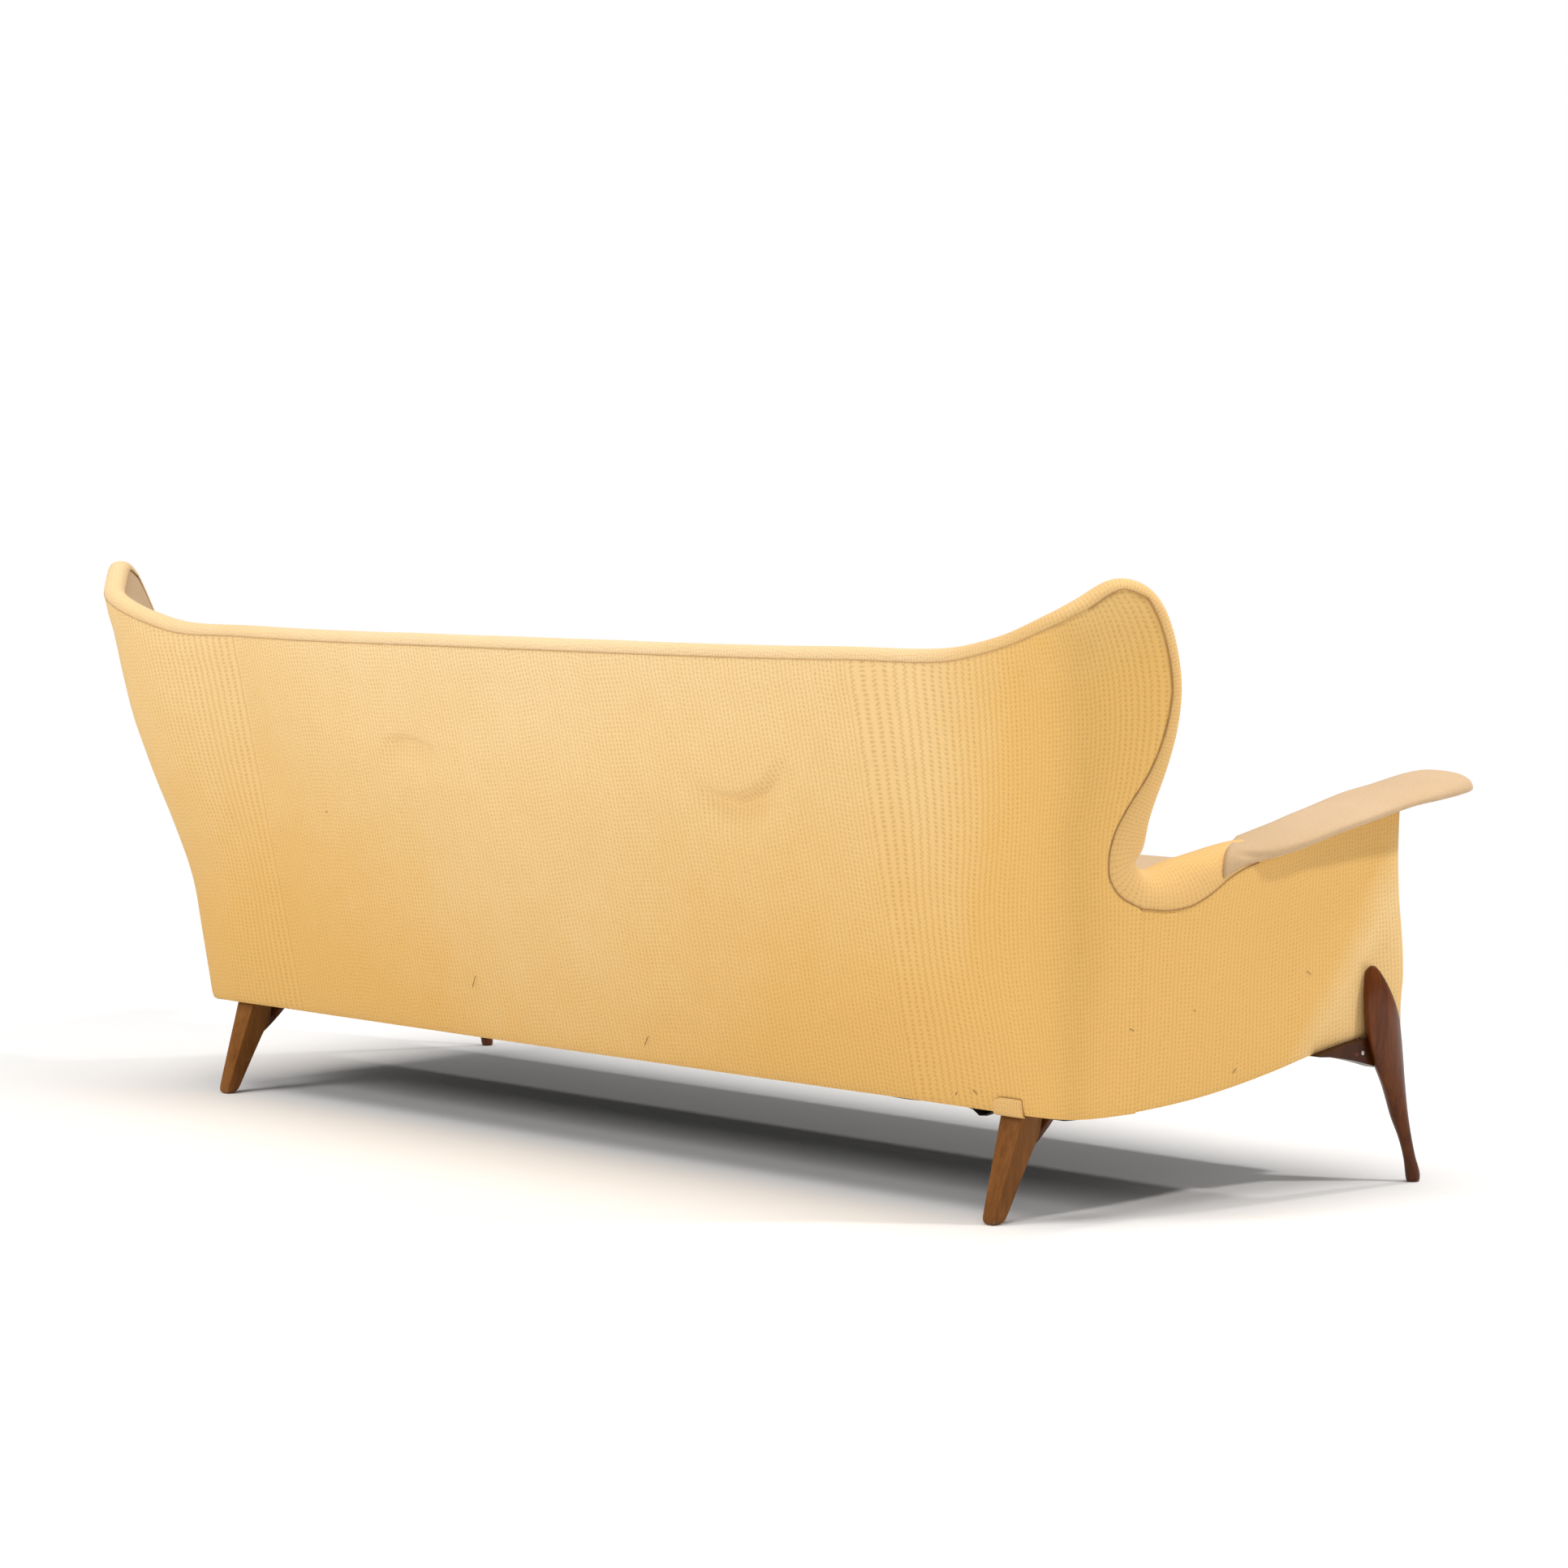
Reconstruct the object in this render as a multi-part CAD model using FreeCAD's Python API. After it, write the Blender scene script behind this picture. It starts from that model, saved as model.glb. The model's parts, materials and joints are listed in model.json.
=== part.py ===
import FreeCAD, Part
import math
import os

from FreeCAD import Vector

# A winged sofa seen as a bench full of pieces: beech frame, webbing, pads, covers, loose seat cushions and
# splayed hardwood legs. Millimetres, +Z up, the sitter faces -Y, and "left" is the sitter's left, +X.
# Lengths along Y are counted from the line of the rear feet, and the finished pieces are then moved so that
# the origin lies on the floor under the middle of the sofa.

# Overall sizes
body_half_width = 1000.0      # middle to the upright corner seam, at the body's bottom edge
body_bottom = 150.0           # height of the body's bottom edge at the back
arm_seam_height = 438.0       # lowest point of the arm's outside seam, above the floor
back_seam_height = 768.0      # seam along the top of the back, above the floor
body_front = -707.0           # front edge of the arm panels at their bottom
recline = 162.0 / 635.0       # backward lean of the outside back, as run over rise
front_lean = 0.0957           # lean of the front edge of the arms, as run over rise
bow_bottom = 4.0              # how far the back curves forward at the start of the corners, at the bottom
bow_top = 26.0                # the same, at the top
corner_reach = 300.0          # from the nearly flat middle of the back to the corner seam
flat_half_width = body_half_width - corner_reach

# Thicknesses of what is layered from the outside cover inwards
cloth = 2.5                   # woollen cover with its thin wadding
layer_gap = 0.45              # clearance between two layers
board = 22.0                  # beech boards of the frame
edge_radius = 18.0            # half the thickness of the back at its stuffed edge
arm_wall = 76.0               # thickness of an arm's wall
back_crown = 79.0             # what the back pad adds to the edge thickness at its fullest
wing_crown = 14.0             # the same for a wing

# Seat
deck_height = 300.0           # top of the front and rear rails
webbing = 3.0
deck_pad = 17.0
cushion_height = 108.0
cushion_crown = 22.0
cushion_side_clearance = 12.0  # keeps the outer cushions clear of the arm rests when they are lifted out
front_rail_height = 69.0

# Arm rests
rest_thickness = 34.0
rest_half_width = 79.0
rest_centre_out = 33.0        # centre line of a rest, outside body_half_width
rest_overhang = 96.0          # reach of a rest in front of the arm panel
rest_board = 11.0

# Legs
rear_foot_in = 124.0          # middle of a rear leg, inside body_half_width
front_foot_out = 48.0         # middle of a front leg, outside body_half_width
rear_foot_x = body_half_width - rear_foot_in
front_foot_x = body_half_width + front_foot_out
rear_leg_width = 43.0
rear_leg_depth = 40.0
rear_rake = 52.0              # how far a rear foot stands behind the leg's top
rear_foot_side = 23.0
bracket_width = 28.0
screw_radius = 2.5

# The corner line, where the back turns into the arm and, higher up, ends in the wing:
# (level, out from body_half_width, distance along Y, turn of the surface in degrees, fullness of the turn).
# Level 0 is the body's bottom edge, 1 the arm seam, 2 the top seam of the back.
CORNER_LINE = [
    (0.00, 0.0, -163.0, 88.0, 1.61),
    (0.35, 16.0, -150.0, 86.0, 1.49),
    (0.70, 36.0, -130.0, 84.0, 1.32),
    (1.00, 58.0, -110.0, 80.0, 1.35),
    (1.31, 92.0, -92.0, 72.0, 1.52),
    (1.58, 134.0, -75.0, 66.0, 1.49),
    (1.79, 156.0, -64.0, 62.0, 1.47),
    (2.00, 166.0, -50.0, 59.0, 1.50),
    (2.22, 169.0, -16.0, 54.0, 1.53),
    (2.34, 163.0, 12.0, 50.0, 1.52),
]
# How far the outside back reaches along each section at each level: it is cut back where the arm starts.
SEAM_REACH = [
    (1.00, 1.000),
    (1.04, 0.974),
    (1.12, 0.950),
    (1.20, 0.946),
    (1.32, 0.952),
    (1.43, 0.964),
    (1.57, 0.980),
    (1.79, 0.992),
    (1.90, 0.995),
]
# Level of the seam along the top of the back and up round the wing, by share of the way to the wing's edge.
TOP_SEAM = [
    (0.00, 1.995),
    (0.62, 2.000),
    (0.69, 2.005),
    (0.745, 2.058),
    (0.82, 2.130),
    (0.895, 2.190),
    (0.94, 2.240),
    (0.97, 2.290),
    (0.985, 2.308),
    (1.00, 2.275),
]
# Bottom edge of the body: (distance along Y, height over body_bottom).
BOTTOM_EDGE = [
    (-705.0, 76.0),
    (-640.0, 70.0),
    (-520.0, 53.0),
    (-430.0, 35.0),
    (-300.0, 13.0),
    (-160.0, 2.0),
    (-60.0, 0.0),
]
# Sweep of the arm's top line: (share of the arm's length from the corner, height over arm_seam_height).
ARM_LINE = [
    (0.00, 0.0),
    (0.084, -5.0),
    (0.166, 1.0),
    (0.234, 19.0),
    (0.276, 34.0),
    (0.314, 43.0),
    (0.38, 52.0),
    (0.517, 71.0),
    (0.76, 97.0),
    (0.90, 109.0),
    (1.00, 114.0),
    (1.16, 120.0),
]
# Stuffed edge beyond the seam: (level down the wing's front, half thickness, reach).
EDGE_ROLL = [
    (1.00, 37.0, 44.0),
    (1.12, 34.0, 46.0),
    (1.20, 31.0, 46.0),
    (1.32, 28.0, 44.0),
    (1.43, 25.0, 38.0),
    (1.57, 22.0, 28.0),
    (1.79, 18.0, 19.0),
    (2.00, 18.0, 18.0),
]
# Front leg: (height over the floor, distance along Y, half depth, half width).
FRONT_LEG = [
    (0.0, -714.0, 10.0, 10.0),
    (10.0, -713.0, 11.0, 11.0),
    (35.0, -706.0, 9.0, 9.0),
    (65.0, -697.0, 8.5, 8.5),
    (100.0, -684.0, 12.0, 10.5),
    (140.0, -671.0, 20.0, 12.0),
    (180.0, -657.0, 30.0, 12.8),
    (215.0, -648.0, 34.5, 13.0),
    (245.0, -642.0, 34.5, 12.6),
    (275.0, -634.0, 28.0, 10.8),
    (300.0, -626.0, 17.5, 8.0),
    (316.0, -620.0, 8.0, 4.5),
    (322.0, -617.5, 2.5, 2.0),
]

FLAT_SHARE = 0.62             # share of a half section that is the nearly flat middle
BOARD_SHARE = 0.71            # where the straight rails of the back end against the corner posts and wing boards
POST_SHARES = (0.93, 0.965)   # where the arm front posts stand along an arm
EDGE_LEVELS = [0.0, 0.35, 0.7, 0.985, 1.0, 1.04, 1.12, 1.2, 1.32, 1.43, 1.57, 1.79, 2.0, 2.15]
BACK_COLUMNS = [0.0, 0.16, 0.31, 0.44, 0.55, 0.62, 0.66, 0.70]
SECTION_SHARES = [0.0, 0.42, 0.64, 0.71, 0.78, 0.84, 0.89, 0.93, 0.965, 1.0]

frame_out = cloth + 3 * layer_gap
frame_in = frame_out + board
pad_out = frame_in + 2 * layer_gap
pad_clear = cloth + 4 * layer_gap
deck_top = deck_height + 2 * webbing + layer_gap + deck_pad
wall_foot = deck_height + 2 * webbing + 2 * layer_gap
rest_centre_x = body_half_width + rest_centre_out


def smooth(rows, t):
    """Values at t of the smooth curve through rows of (t, value, ...), level beyond its ends."""
    if t <= rows[0][0]:
        return rows[0][1:]
    if t >= rows[-1][0]:
        return rows[-1][1:]
    last = len(rows) - 1
    i = max(k for k in range(last) if rows[k][0] <= t)

    def slope(k, c):
        low, high = max(k - 1, 0), min(k + 1, last)
        if low == k or high == k:
            return (rows[high][c] - rows[low][c]) / (rows[high][0] - rows[low][0])
        before = (rows[k][c] - rows[low][c]) / (rows[k][0] - rows[low][0])
        after = (rows[high][c] - rows[k][c]) / (rows[high][0] - rows[k][0])
        wide = rows[high][0] - rows[low][0]
        return (before * (rows[high][0] - rows[k][0]) + after * (rows[k][0] - rows[low][0])) / wide

    step = rows[i + 1][0] - rows[i][0]
    q = (t - rows[i][0]) / step
    found = []
    for c in range(1, len(rows[0])):
        a, b = rows[i][c], rows[i + 1][c]
        ma, mb = slope(i, c) * step, slope(i + 1, c) * step
        found.append((2 * q**3 - 3 * q**2 + 1) * a + (q**3 - 2 * q**2 + q) * ma
                     + (3 * q**2 - 2 * q**3) * b + (q**3 - q**2) * mb)
    return tuple(found)


def ease(t):
    """0 below 0, 1 above 1, and a smooth step between."""
    t = min(max(t, 0.0), 1.0)
    return t * t * (3 - 2 * t)


def height(level):
    if level <= 1:
        return body_bottom + level * (arm_seam_height - body_bottom)
    return arm_seam_height + (level - 1) * (back_seam_height - arm_seam_height)


def level_of(z):
    if z <= arm_seam_height:
        return (z - body_bottom) / (arm_seam_height - body_bottom)
    return 1 + (z - arm_seam_height) / (back_seam_height - arm_seam_height)


def bottom_edge(y):
    return body_bottom + smooth(BOTTOM_EDGE, y)[0]


def cubic(p, t):
    """Point at t of the cubic curve with control points p."""
    w = ((1 - t)**3, 3 * (1 - t)**2 * t, 3 * (1 - t) * t * t, t**3)
    return tuple(sum(w[k] * p[k][c] for k in range(4)) for c in (0, 1))


def arm_front(z):
    """Front edge of the arm's outside at height z, as (x, y)."""
    up = z - body_bottom
    return body_half_width + 27 + 0.047 * up, body_front + front_lean * (up - 76)


def wall(s, z):
    """Outside face of the upholstery at height z: s is 0 at the middle, 1 at the corner line, 2 at the arm's
    front edge, and negative on the right. Gives x, y and the turn of the surface in degrees."""
    side, a = (-1 if s < 0 else 1), abs(s)
    rise = (z - body_bottom) / (back_seam_height - body_bottom)
    bow = bow_bottom + (bow_top - bow_bottom) * rise
    middle = -34 + recline * (z - body_bottom)
    if a <= FLAT_SHARE:
        x = a / FLAT_SHARE * flat_half_width
        return side * x, middle - bow * (x / flat_half_width)**2, 0.0
    out, y_corner, turn, fullness = smooth(CORNER_LINE, level_of(z))
    corner = (body_half_width + out, y_corner)
    angle = math.radians(turn)
    if a <= 1:
        t = (a - FLAT_SHARE) / (1 - FLAT_SHARE)
        start = (flat_half_width, middle - bow)
        reach = fullness * math.dist(start, corner)
        slope = -2 * bow / flat_half_width
        p1 = (start[0] + 0.55 * reach, start[1] + 0.55 * reach * slope)
        p2 = (corner[0] - 0.3 * reach * math.cos(angle), corner[1] + 0.3 * reach * math.sin(angle))
        x, y = cubic((start, p1, p2, corner), t)
        return side * x, y, turn * ease(t)
    front = arm_front(z)
    third = math.dist(corner, front) / 3
    p1 = (corner[0] + third * math.cos(angle), corner[1] - third * math.sin(angle))
    p2 = (front[0], front[1] + third)
    x, y = cubic((corner, p1, p2, front), min(a - 1, 1.0))
    return side * x, y, turn + (90 - turn) * ease(a - 1)


def layer(s, z, depth):
    """Point inside the upholstery, depth below its outside face."""
    x, y, turn = wall(s, z)
    side = -1 if s < 0 else 1
    angle = math.radians(turn)
    return Vector(x - side * depth * math.sin(angle), y - depth * math.cos(angle), z)


def seam_reach(z):
    return smooth(SEAM_REACH, level_of(z))[0]


def top_seam(u):
    return height(smooth(TOP_SEAM, abs(u))[0])


def arm_top(a):
    """Height of the arm wall's top at share a of its length."""
    return arm_seam_height + smooth(ARM_LINE, a)[0]


def share_at(y, height_at, depth=0.0):
    """Share of the section at which the layer at that depth crosses y; height_at gives the height at a share."""
    low, high = FLAT_SHARE, 2.0
    for _ in range(40):
        middle = (low + high) / 2
        if layer(middle, height_at(middle), depth).y > y:
            low = middle
        else:
            high = middle
    return low


def edge_thickness(z):
    return 2 * smooth(EDGE_ROLL, level_of(z))[0] if z > arm_seam_height else arm_wall


def thickness(u, z):
    """Thickness of the back and wings at share u of the way to the edge."""
    u = abs(u)
    below_top = top_seam(u) - z
    back = 2 * edge_radius + back_crown * ease(below_top / 190)
    wing = edge_thickness(z) + wing_crown * ease(below_top / 90) * ease((1 - u) / 0.08)
    return wing + (back - wing) * ease((0.97 - u) / 0.35)


def spline_poles(points, at):
    """Control points of the smooth curve through points at the parameters in at."""
    last = len(points) - 1

    def slope(i):
        low, high = max(i - 1, 0), min(i + 1, last)
        if low == i or high == i:
            return (points[high] - points[low]) * (1 / (at[high] - at[low]))
        before = (points[i] - points[low]) * ((at[high] - at[i]) / (at[i] - at[low]))
        after = (points[high] - points[i]) * ((at[i] - at[low]) / (at[high] - at[i]))
        return (before + after) * (1 / (at[high] - at[low]))

    poles = [points[0]]
    for i in range(last + 1):
        if i > 0:
            poles.append(points[i] - slope(i) * ((at[i] - at[i - 1]) / 3))
        if i < last:
            poles.append(points[i] + slope(i) * ((at[i + 1] - at[i]) / 3))
    return poles + [points[last]]


def spacing(rows):
    """Parameters for a list of rows of points, from the mean distance between neighbours."""
    at = [0.0]
    for a, b in zip(rows, rows[1:]):
        at.append(at[-1] + sum((q - p).Length for p, q in zip(a, b)) / len(a))
    return at


def face_through(grid, u_at, v_at):
    rows = [spline_poles(row, v_at) for row in grid]
    columns = [spline_poles(list(column), u_at) for column in zip(*rows)]
    surface = Part.BSplineSurface()
    u_mults = [4] + [2] * (len(u_at) - 2) + [4]
    v_mults = [4] + [2] * (len(v_at) - 2) + [4]
    poles = [list(row) for row in zip(*columns)]
    surface.buildFromPolesMultsKnots(poles, u_mults, v_mults, u_at, v_at, False, False, 3, 3)
    return surface


def slab(outer, inner):
    """Solid between two smooth faces through grids of points of the same size."""
    u_at, v_at = spacing(outer), spacing(list(zip(*outer)))
    a, b = face_through(outer, u_at, v_at), face_through(inner, u_at, v_at)
    (ua, ub, va, vb) = a.bounds()
    rims = [(a.uIso(ua), b.uIso(ua)), (a.uIso(ub), b.uIso(ub)), (a.vIso(va), b.vIso(va)), (a.vIso(vb), b.vIso(vb))]
    faces = [a.toShape(), b.toShape()]
    faces += [Part.makeRuledSurface(p.toShape(), q.toShape()) for p, q in rims]
    shell = Part.makeShell(faces)
    shell.sewShape()
    solid = Part.makeSolid(shell)
    if solid.Volume < 0:
        solid.reverse()
    return solid


def hollow(outside, inside):
    """Solid bounded by the skin of outside and, within it, the skin of inside."""
    solid = Part.makeSolid(Part.Compound([outside.Shells[0], inside.Shells[0].reversed()]))
    if solid.Volume < 0:
        solid.reverse()
    return solid


def wall_slab(shares, rises, place):
    """Slab whose point at column share i, row rise j and side k (0 outer, 1 inner) is place(i, j, k)."""
    return slab(*[[[place(i, j, k) for j in rises] for i in shares] for k in (0, 1)])


def steps(low, high, count):
    return [low + (high - low) * k / count for k in range(count + 1)]


def back_patch(shares, z_low, z_high, d_low, d_high, rows=4):
    """Board or pad in the back: shares along the section, heights and depths, each a number or a function."""
    def value(f, *args):
        return f(*args) if callable(f) else f

    def place(i, j, k):
        z = value(z_low, i) + j * (value(z_high, i) - value(z_low, i))
        s = i * seam_reach(z)
        return layer(s, z, value((d_low, d_high)[k], i, z))
    return wall_slab(shares, rows if isinstance(rows, list) else steps(0.0, 1.0, rows), place)


def inner_rises():
    """Rises of the rows of the inside covers and of the pads that lie close behind them."""
    heights = [height(level) for level in EDGE_LEVELS]
    return [0.0] + [(z - wall_foot) / (top_seam(1) - wall_foot) for z in heights if z > wall_foot + 20] + [1.0]


def arm_patch(a_low, a_high, z_low, z_high, d_low, d_high, columns=5, rows=3):
    """Board or pad in an arm, by share of the arm's length."""
    def place(i, j, k):
        z = z_low(i) + j * (z_high(i) - z_low(i))
        return layer(1 + i, z, (d_low, d_high)[k])
    return wall_slab(steps(a_low, a_high, columns), steps(0.0, 1.0, rows), place)


def arm_y(a):
    return wall(1 + a, arm_seam_height)[1]


def arm_bottom(a):
    """Height of the body's bottom edge at share a of the arm's length."""
    return bottom_edge(wall(1 + a, body_bottom + 60)[1])


def box(x0, x1, y0, y1, z0, z1):
    return Part.makeBox(x1 - x0, y1 - y0, z1 - z0, Vector(x0, y0, z0))


def prism_x(profile, x0, x1):
    """Extrusion along X of a profile given as (y, z) corners."""
    corners = [Vector(x0, y, z) for y, z in profile]
    return Part.Face(Part.makePolygon(corners + corners[:1])).extrude(Vector(x1 - x0, 0, 0))


def prism_z(profile, z0, z1):
    corners = [Vector(x, y, z0) for x, y in profile]
    return Part.Face(Part.makePolygon(corners + corners[:1])).extrude(Vector(0, 0, z1 - z0))


def other_side(shape):
    return shape.mirror(Vector(0, 0, 0), Vector(1, 0, 0))


pieces = {}


def add(name, *solids):
    pieces[name] = list(solids)


def add_pair(name, shape):
    add(name + "_left", shape)
    add(name + "_right", other_side(shape))


def both(*shapes):
    """The shapes and their mirror images, for a node that holds both sides."""
    return list(shapes) + [other_side(shape) for shape in shapes]


def mirrored(shares):
    return [-share for share in reversed(shares) if share > 0] + list(shares)


# Frame of the back
def back_frame():
    post_half = 25.0
    post_centres = [195.0, 585.0]
    share = FLAT_SHARE / flat_half_width
    rail_low, rail_high = back_seam_height - 46, back_seam_height - 12
    lumbar_low, lumbar_high = 440.0, 490.0

    def flat_board(x0, x1, z0, z1):
        columns = steps(x0 * share, x1 * share, 3)
        return wall_slab(columns, steps(0.0, 1.0, 2),
                         lambda i, j, k: layer(i, z0 + j * (z1 - z0), (frame_out, frame_in)[k]))

    rail_columns = mirrored([0.0, 0.31, FLAT_SHARE, BOARD_SHARE])
    add("rear_rail", wall_slab(rail_columns, steps(0.0, 1.0, 2),
                               lambda i, j, k: layer(i, body_bottom + 5 + j * (deck_height - body_bottom - 5),
                                                     (frame_out, frame_in)[k])))
    add("top_rail", wall_slab(rail_columns, steps(0.0, 1.0, 2),
                              lambda i, j, k: layer(i, rail_low + j * (rail_high - rail_low),
                                                    (frame_out, frame_in)[k])))
    posts = [flat_board(x - post_half, x + post_half, deck_height, rail_low) for x in post_centres]
    add("back_posts", *both(*posts))
    bays = [(-post_centres[0] + post_half, post_centres[0] - post_half),
            (post_centres[0] + post_half, post_centres[1] - post_half)]
    middle = flat_board(bays[0][0], bays[0][1], lumbar_low, lumbar_high)
    add("lumbar_rails", middle, *both(flat_board(bays[1][0], bays[1][1], lumbar_low, lumbar_high)))

    def corner_post(i, j, k):
        low = bottom_edge(wall(i, body_bottom)[1]) + 5
        return layer(i, low + j * (arm_seam_height - low), (frame_out, frame_in)[k])
    add("corner_posts", *both(wall_slab(steps(BOARD_SHARE + 0.0004, 0.985, 7), steps(0.0, 1.0, 4), corner_post)))

    def wing(i, j, k):
        top = top_seam(BOARD_SHARE + 0.255 * i) - 12
        z = arm_seam_height + j * (top - arm_seam_height)
        start = BOARD_SHARE + 0.0006
        s = start + i * (seam_reach(z) - 0.035 - start)
        return layer(s, z, (frame_out, frame_in)[k])
    add_pair("wing_board", wall_slab(steps(0.0, 1.0, 7), steps(0.0, 1.0, 8), wing))


# Frame of the seat and arms
def seat_frame():
    rail_bottom = 5.0
    side_top = deck_height + webbing
    rails_end = POST_SHARES[0] - 0.0005
    side_rail = arm_patch(0.0, rails_end, lambda a: arm_bottom(a) + rail_bottom, lambda a: side_top,
                          frame_out, frame_in)
    post = arm_patch(*POST_SHARES, lambda a: arm_bottom(a) + rail_bottom, lambda a: arm_top(a) - rail_bottom,
                     frame_out, arm_wall - 2 * cloth - 4, 2)
    arm_rail = arm_patch(0.0, rails_end, lambda a: arm_top(a) - 40, lambda a: arm_top(a) - rail_bottom,
                         frame_out, frame_in, 9)
    add("arm_rails", *both(arm_rail))
    add("arm_front_posts", *both(post))

    front_face = body_front + 23
    rail_ends = post.BoundBox.XMin - layer_gap
    rail_back = front_face + board + 6
    add("front_rail", box(-rail_ends, rail_ends, front_face, rail_back, deck_height - front_rail_height, deck_height))

    bar_half, bar_x = 22.0, 315.0
    rear_face = layer((bar_x + bar_half) * FLAT_SHARE / flat_half_width, deck_height - 60, frame_in).y - 0.3
    lean = recline * 30
    profile = [(rail_back, deck_height - 60), (rear_face, deck_height - 60),
               (rear_face + lean, deck_height - 30), (rail_back, deck_height - 30)]
    bar = prism_x(profile, bar_x - bar_half, bar_x + bar_half)
    add("seat_cross_bars", *both(bar))

    block, block_low, block_high = 70.0, deck_height - 50, deck_height - 12
    front_block = prism_z([(rail_ends, rail_back), (rail_ends - block, rail_back), (rail_ends, rail_back + block)],
                          block_low, block_high)
    add("corner_blocks", *both(front_block))

    block_front = -150.0
    leg_block = box(rear_foot_x - 31, rear_foot_x + 31, block_front, layer(0.7, body_bottom + 5, frame_in).y - 2,
                    body_bottom + 5, body_bottom + 40)
    add("leg_blocks", *both(leg_block))
    return side_rail, rail_back, front_face, rail_ends


# Webbing, deck and dust cover
def suspension(rail_back, front_face):
    strap, rear_y = 60.0, layer(BOARD_SHARE, deck_height, frame_in).y + 8
    straps = [box(x - strap / 2, x + strap / 2, front_face + 6, rear_y, deck_height, deck_height + webbing)
              for x in [-780 + 130 * k for k in range(13)]]
    add("seat_webbing_long", *straps)
    side_x = layer(1.5, deck_height, frame_in).x + 12
    cross = [box(-side_x, side_x, y - strap / 2, y + strap / 2, deck_height + webbing, deck_height + 2 * webbing)
             for y in [rail_back + 70 + 115 * k for k in range(4)]]
    add("seat_webbing_cross", *cross)

    strap_high = 55.0

    def strap_at(z0):
        return wall_slab(mirrored([0.0, 0.31, 0.55, FLAT_SHARE, 0.66, 0.70, 0.735]), steps(0.0, 1.0, 2),
                         lambda i, j, k: layer(i, z0 + strap_high * j, pad_out + (0, webbing)[k]))
    add("back_webbing", *[strap_at(z) for z in [338 + 82 * k for k in range(5)]])

    deck_half = layer(1.2, wall_foot, arm_wall).x - 8
    deck_rear = layer(FLAT_SHARE, wall_foot, 2 * edge_radius + back_crown).y - 20
    cloth_low = deck_height + 2 * webbing
    add("deck_cloth", box(-deck_half, deck_half, front_face + 4, deck_rear, cloth_low, cloth_low + 1))
    pad_low = cloth_low + 1 + layer_gap
    add("deck_pad", box(-deck_half, deck_half, front_face + 4, deck_rear, pad_low, pad_low + deck_pad - cloth - 1.5))
    add("deck_cover", box(-deck_half, deck_half, front_face - 17, deck_rear, deck_top - cloth + layer_gap, deck_top))


def dust_cover():
    thick, inset = 1.0, 14.0
    rear = layer(FLAT_SHARE, body_bottom, inset).y - 8

    def place(i, y, k):
        half = layer(share_at(y, lambda s: body_bottom, inset), body_bottom, inset).x
        return Vector(i * half, y, bottom_edge(y) + 3.5 - thick * k)
    y_values = steps(body_front + 2 * inset, -170.0, 5) + [-140.0, -110.0, -85.0, rear]
    sheet = wall_slab(steps(-1.0, 1.0, 6), y_values, place)
    clear = 4.0
    notch = box(rear_foot_x - 31 - clear, rear_foot_x + 31 + clear, -154.0, 0.0, body_bottom - 5, body_bottom + 20)
    for tool in both(notch):
        sheet = sheet.cut(tool)
    add("dust_cover", sheet)


# Pads of the back, wings, arms and front
def pads(front_face, rail_ends):
    pad_start = pad_out + webbing + 2 * layer_gap

    def pad_face(u, z):
        return thickness(u, z) - pad_clear
    rises = inner_rises()
    add("back_pad", back_patch(mirrored(BACK_COLUMNS), wall_foot, lambda u: top_seam(u) - 42, pad_start, pad_face, rises))

    def wing_start(u, z):
        return pad_start + (pad_out + 1 - pad_start) * ease((u - 0.76) / 0.06)
    wing_columns = [BACK_COLUMNS[-1] + 0.012, 0.76, 0.82, 0.87, 0.91, 0.95, 0.972]
    add("wing_pads", *both(back_patch(wing_columns, wall_foot, lambda u: top_seam(u) - 22, wing_start,
                                      lambda u, z: pad_face(u, z) - layer_gap, rises)))
    arm_pad = arm_patch(0.0, POST_SHARES[0] - 0.002, lambda a: wall_foot, lambda a: arm_top(a) - 4,
                        pad_out, arm_wall - pad_clear, 8)
    add("arm_pads", *both(arm_pad))

    front_pad = arm_patch(POST_SHARES[1] + 0.007, 0.997, lambda a: arm_bottom(a) + 6, lambda a: arm_top(a) - 5,
                          frame_out, arm_wall - pad_clear, 2)
    add("arm_front_pads", *both(front_pad))
    pad_front, pad_low = front_face - 17, deck_height - front_rail_height
    pad_half = layer(2, body_bottom + 76, arm_wall).x - 1
    add("front_border_pad", box(-pad_half, pad_half, pad_front, front_face - layer_gap, pad_low, deck_top - 3))
    cover_front = pad_front - layer_gap - cloth
    add("front_border_cover", box(-pad_half, pad_half, cover_front, cover_front + cloth, pad_low - 5, deck_top))
    return cover_front


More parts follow.
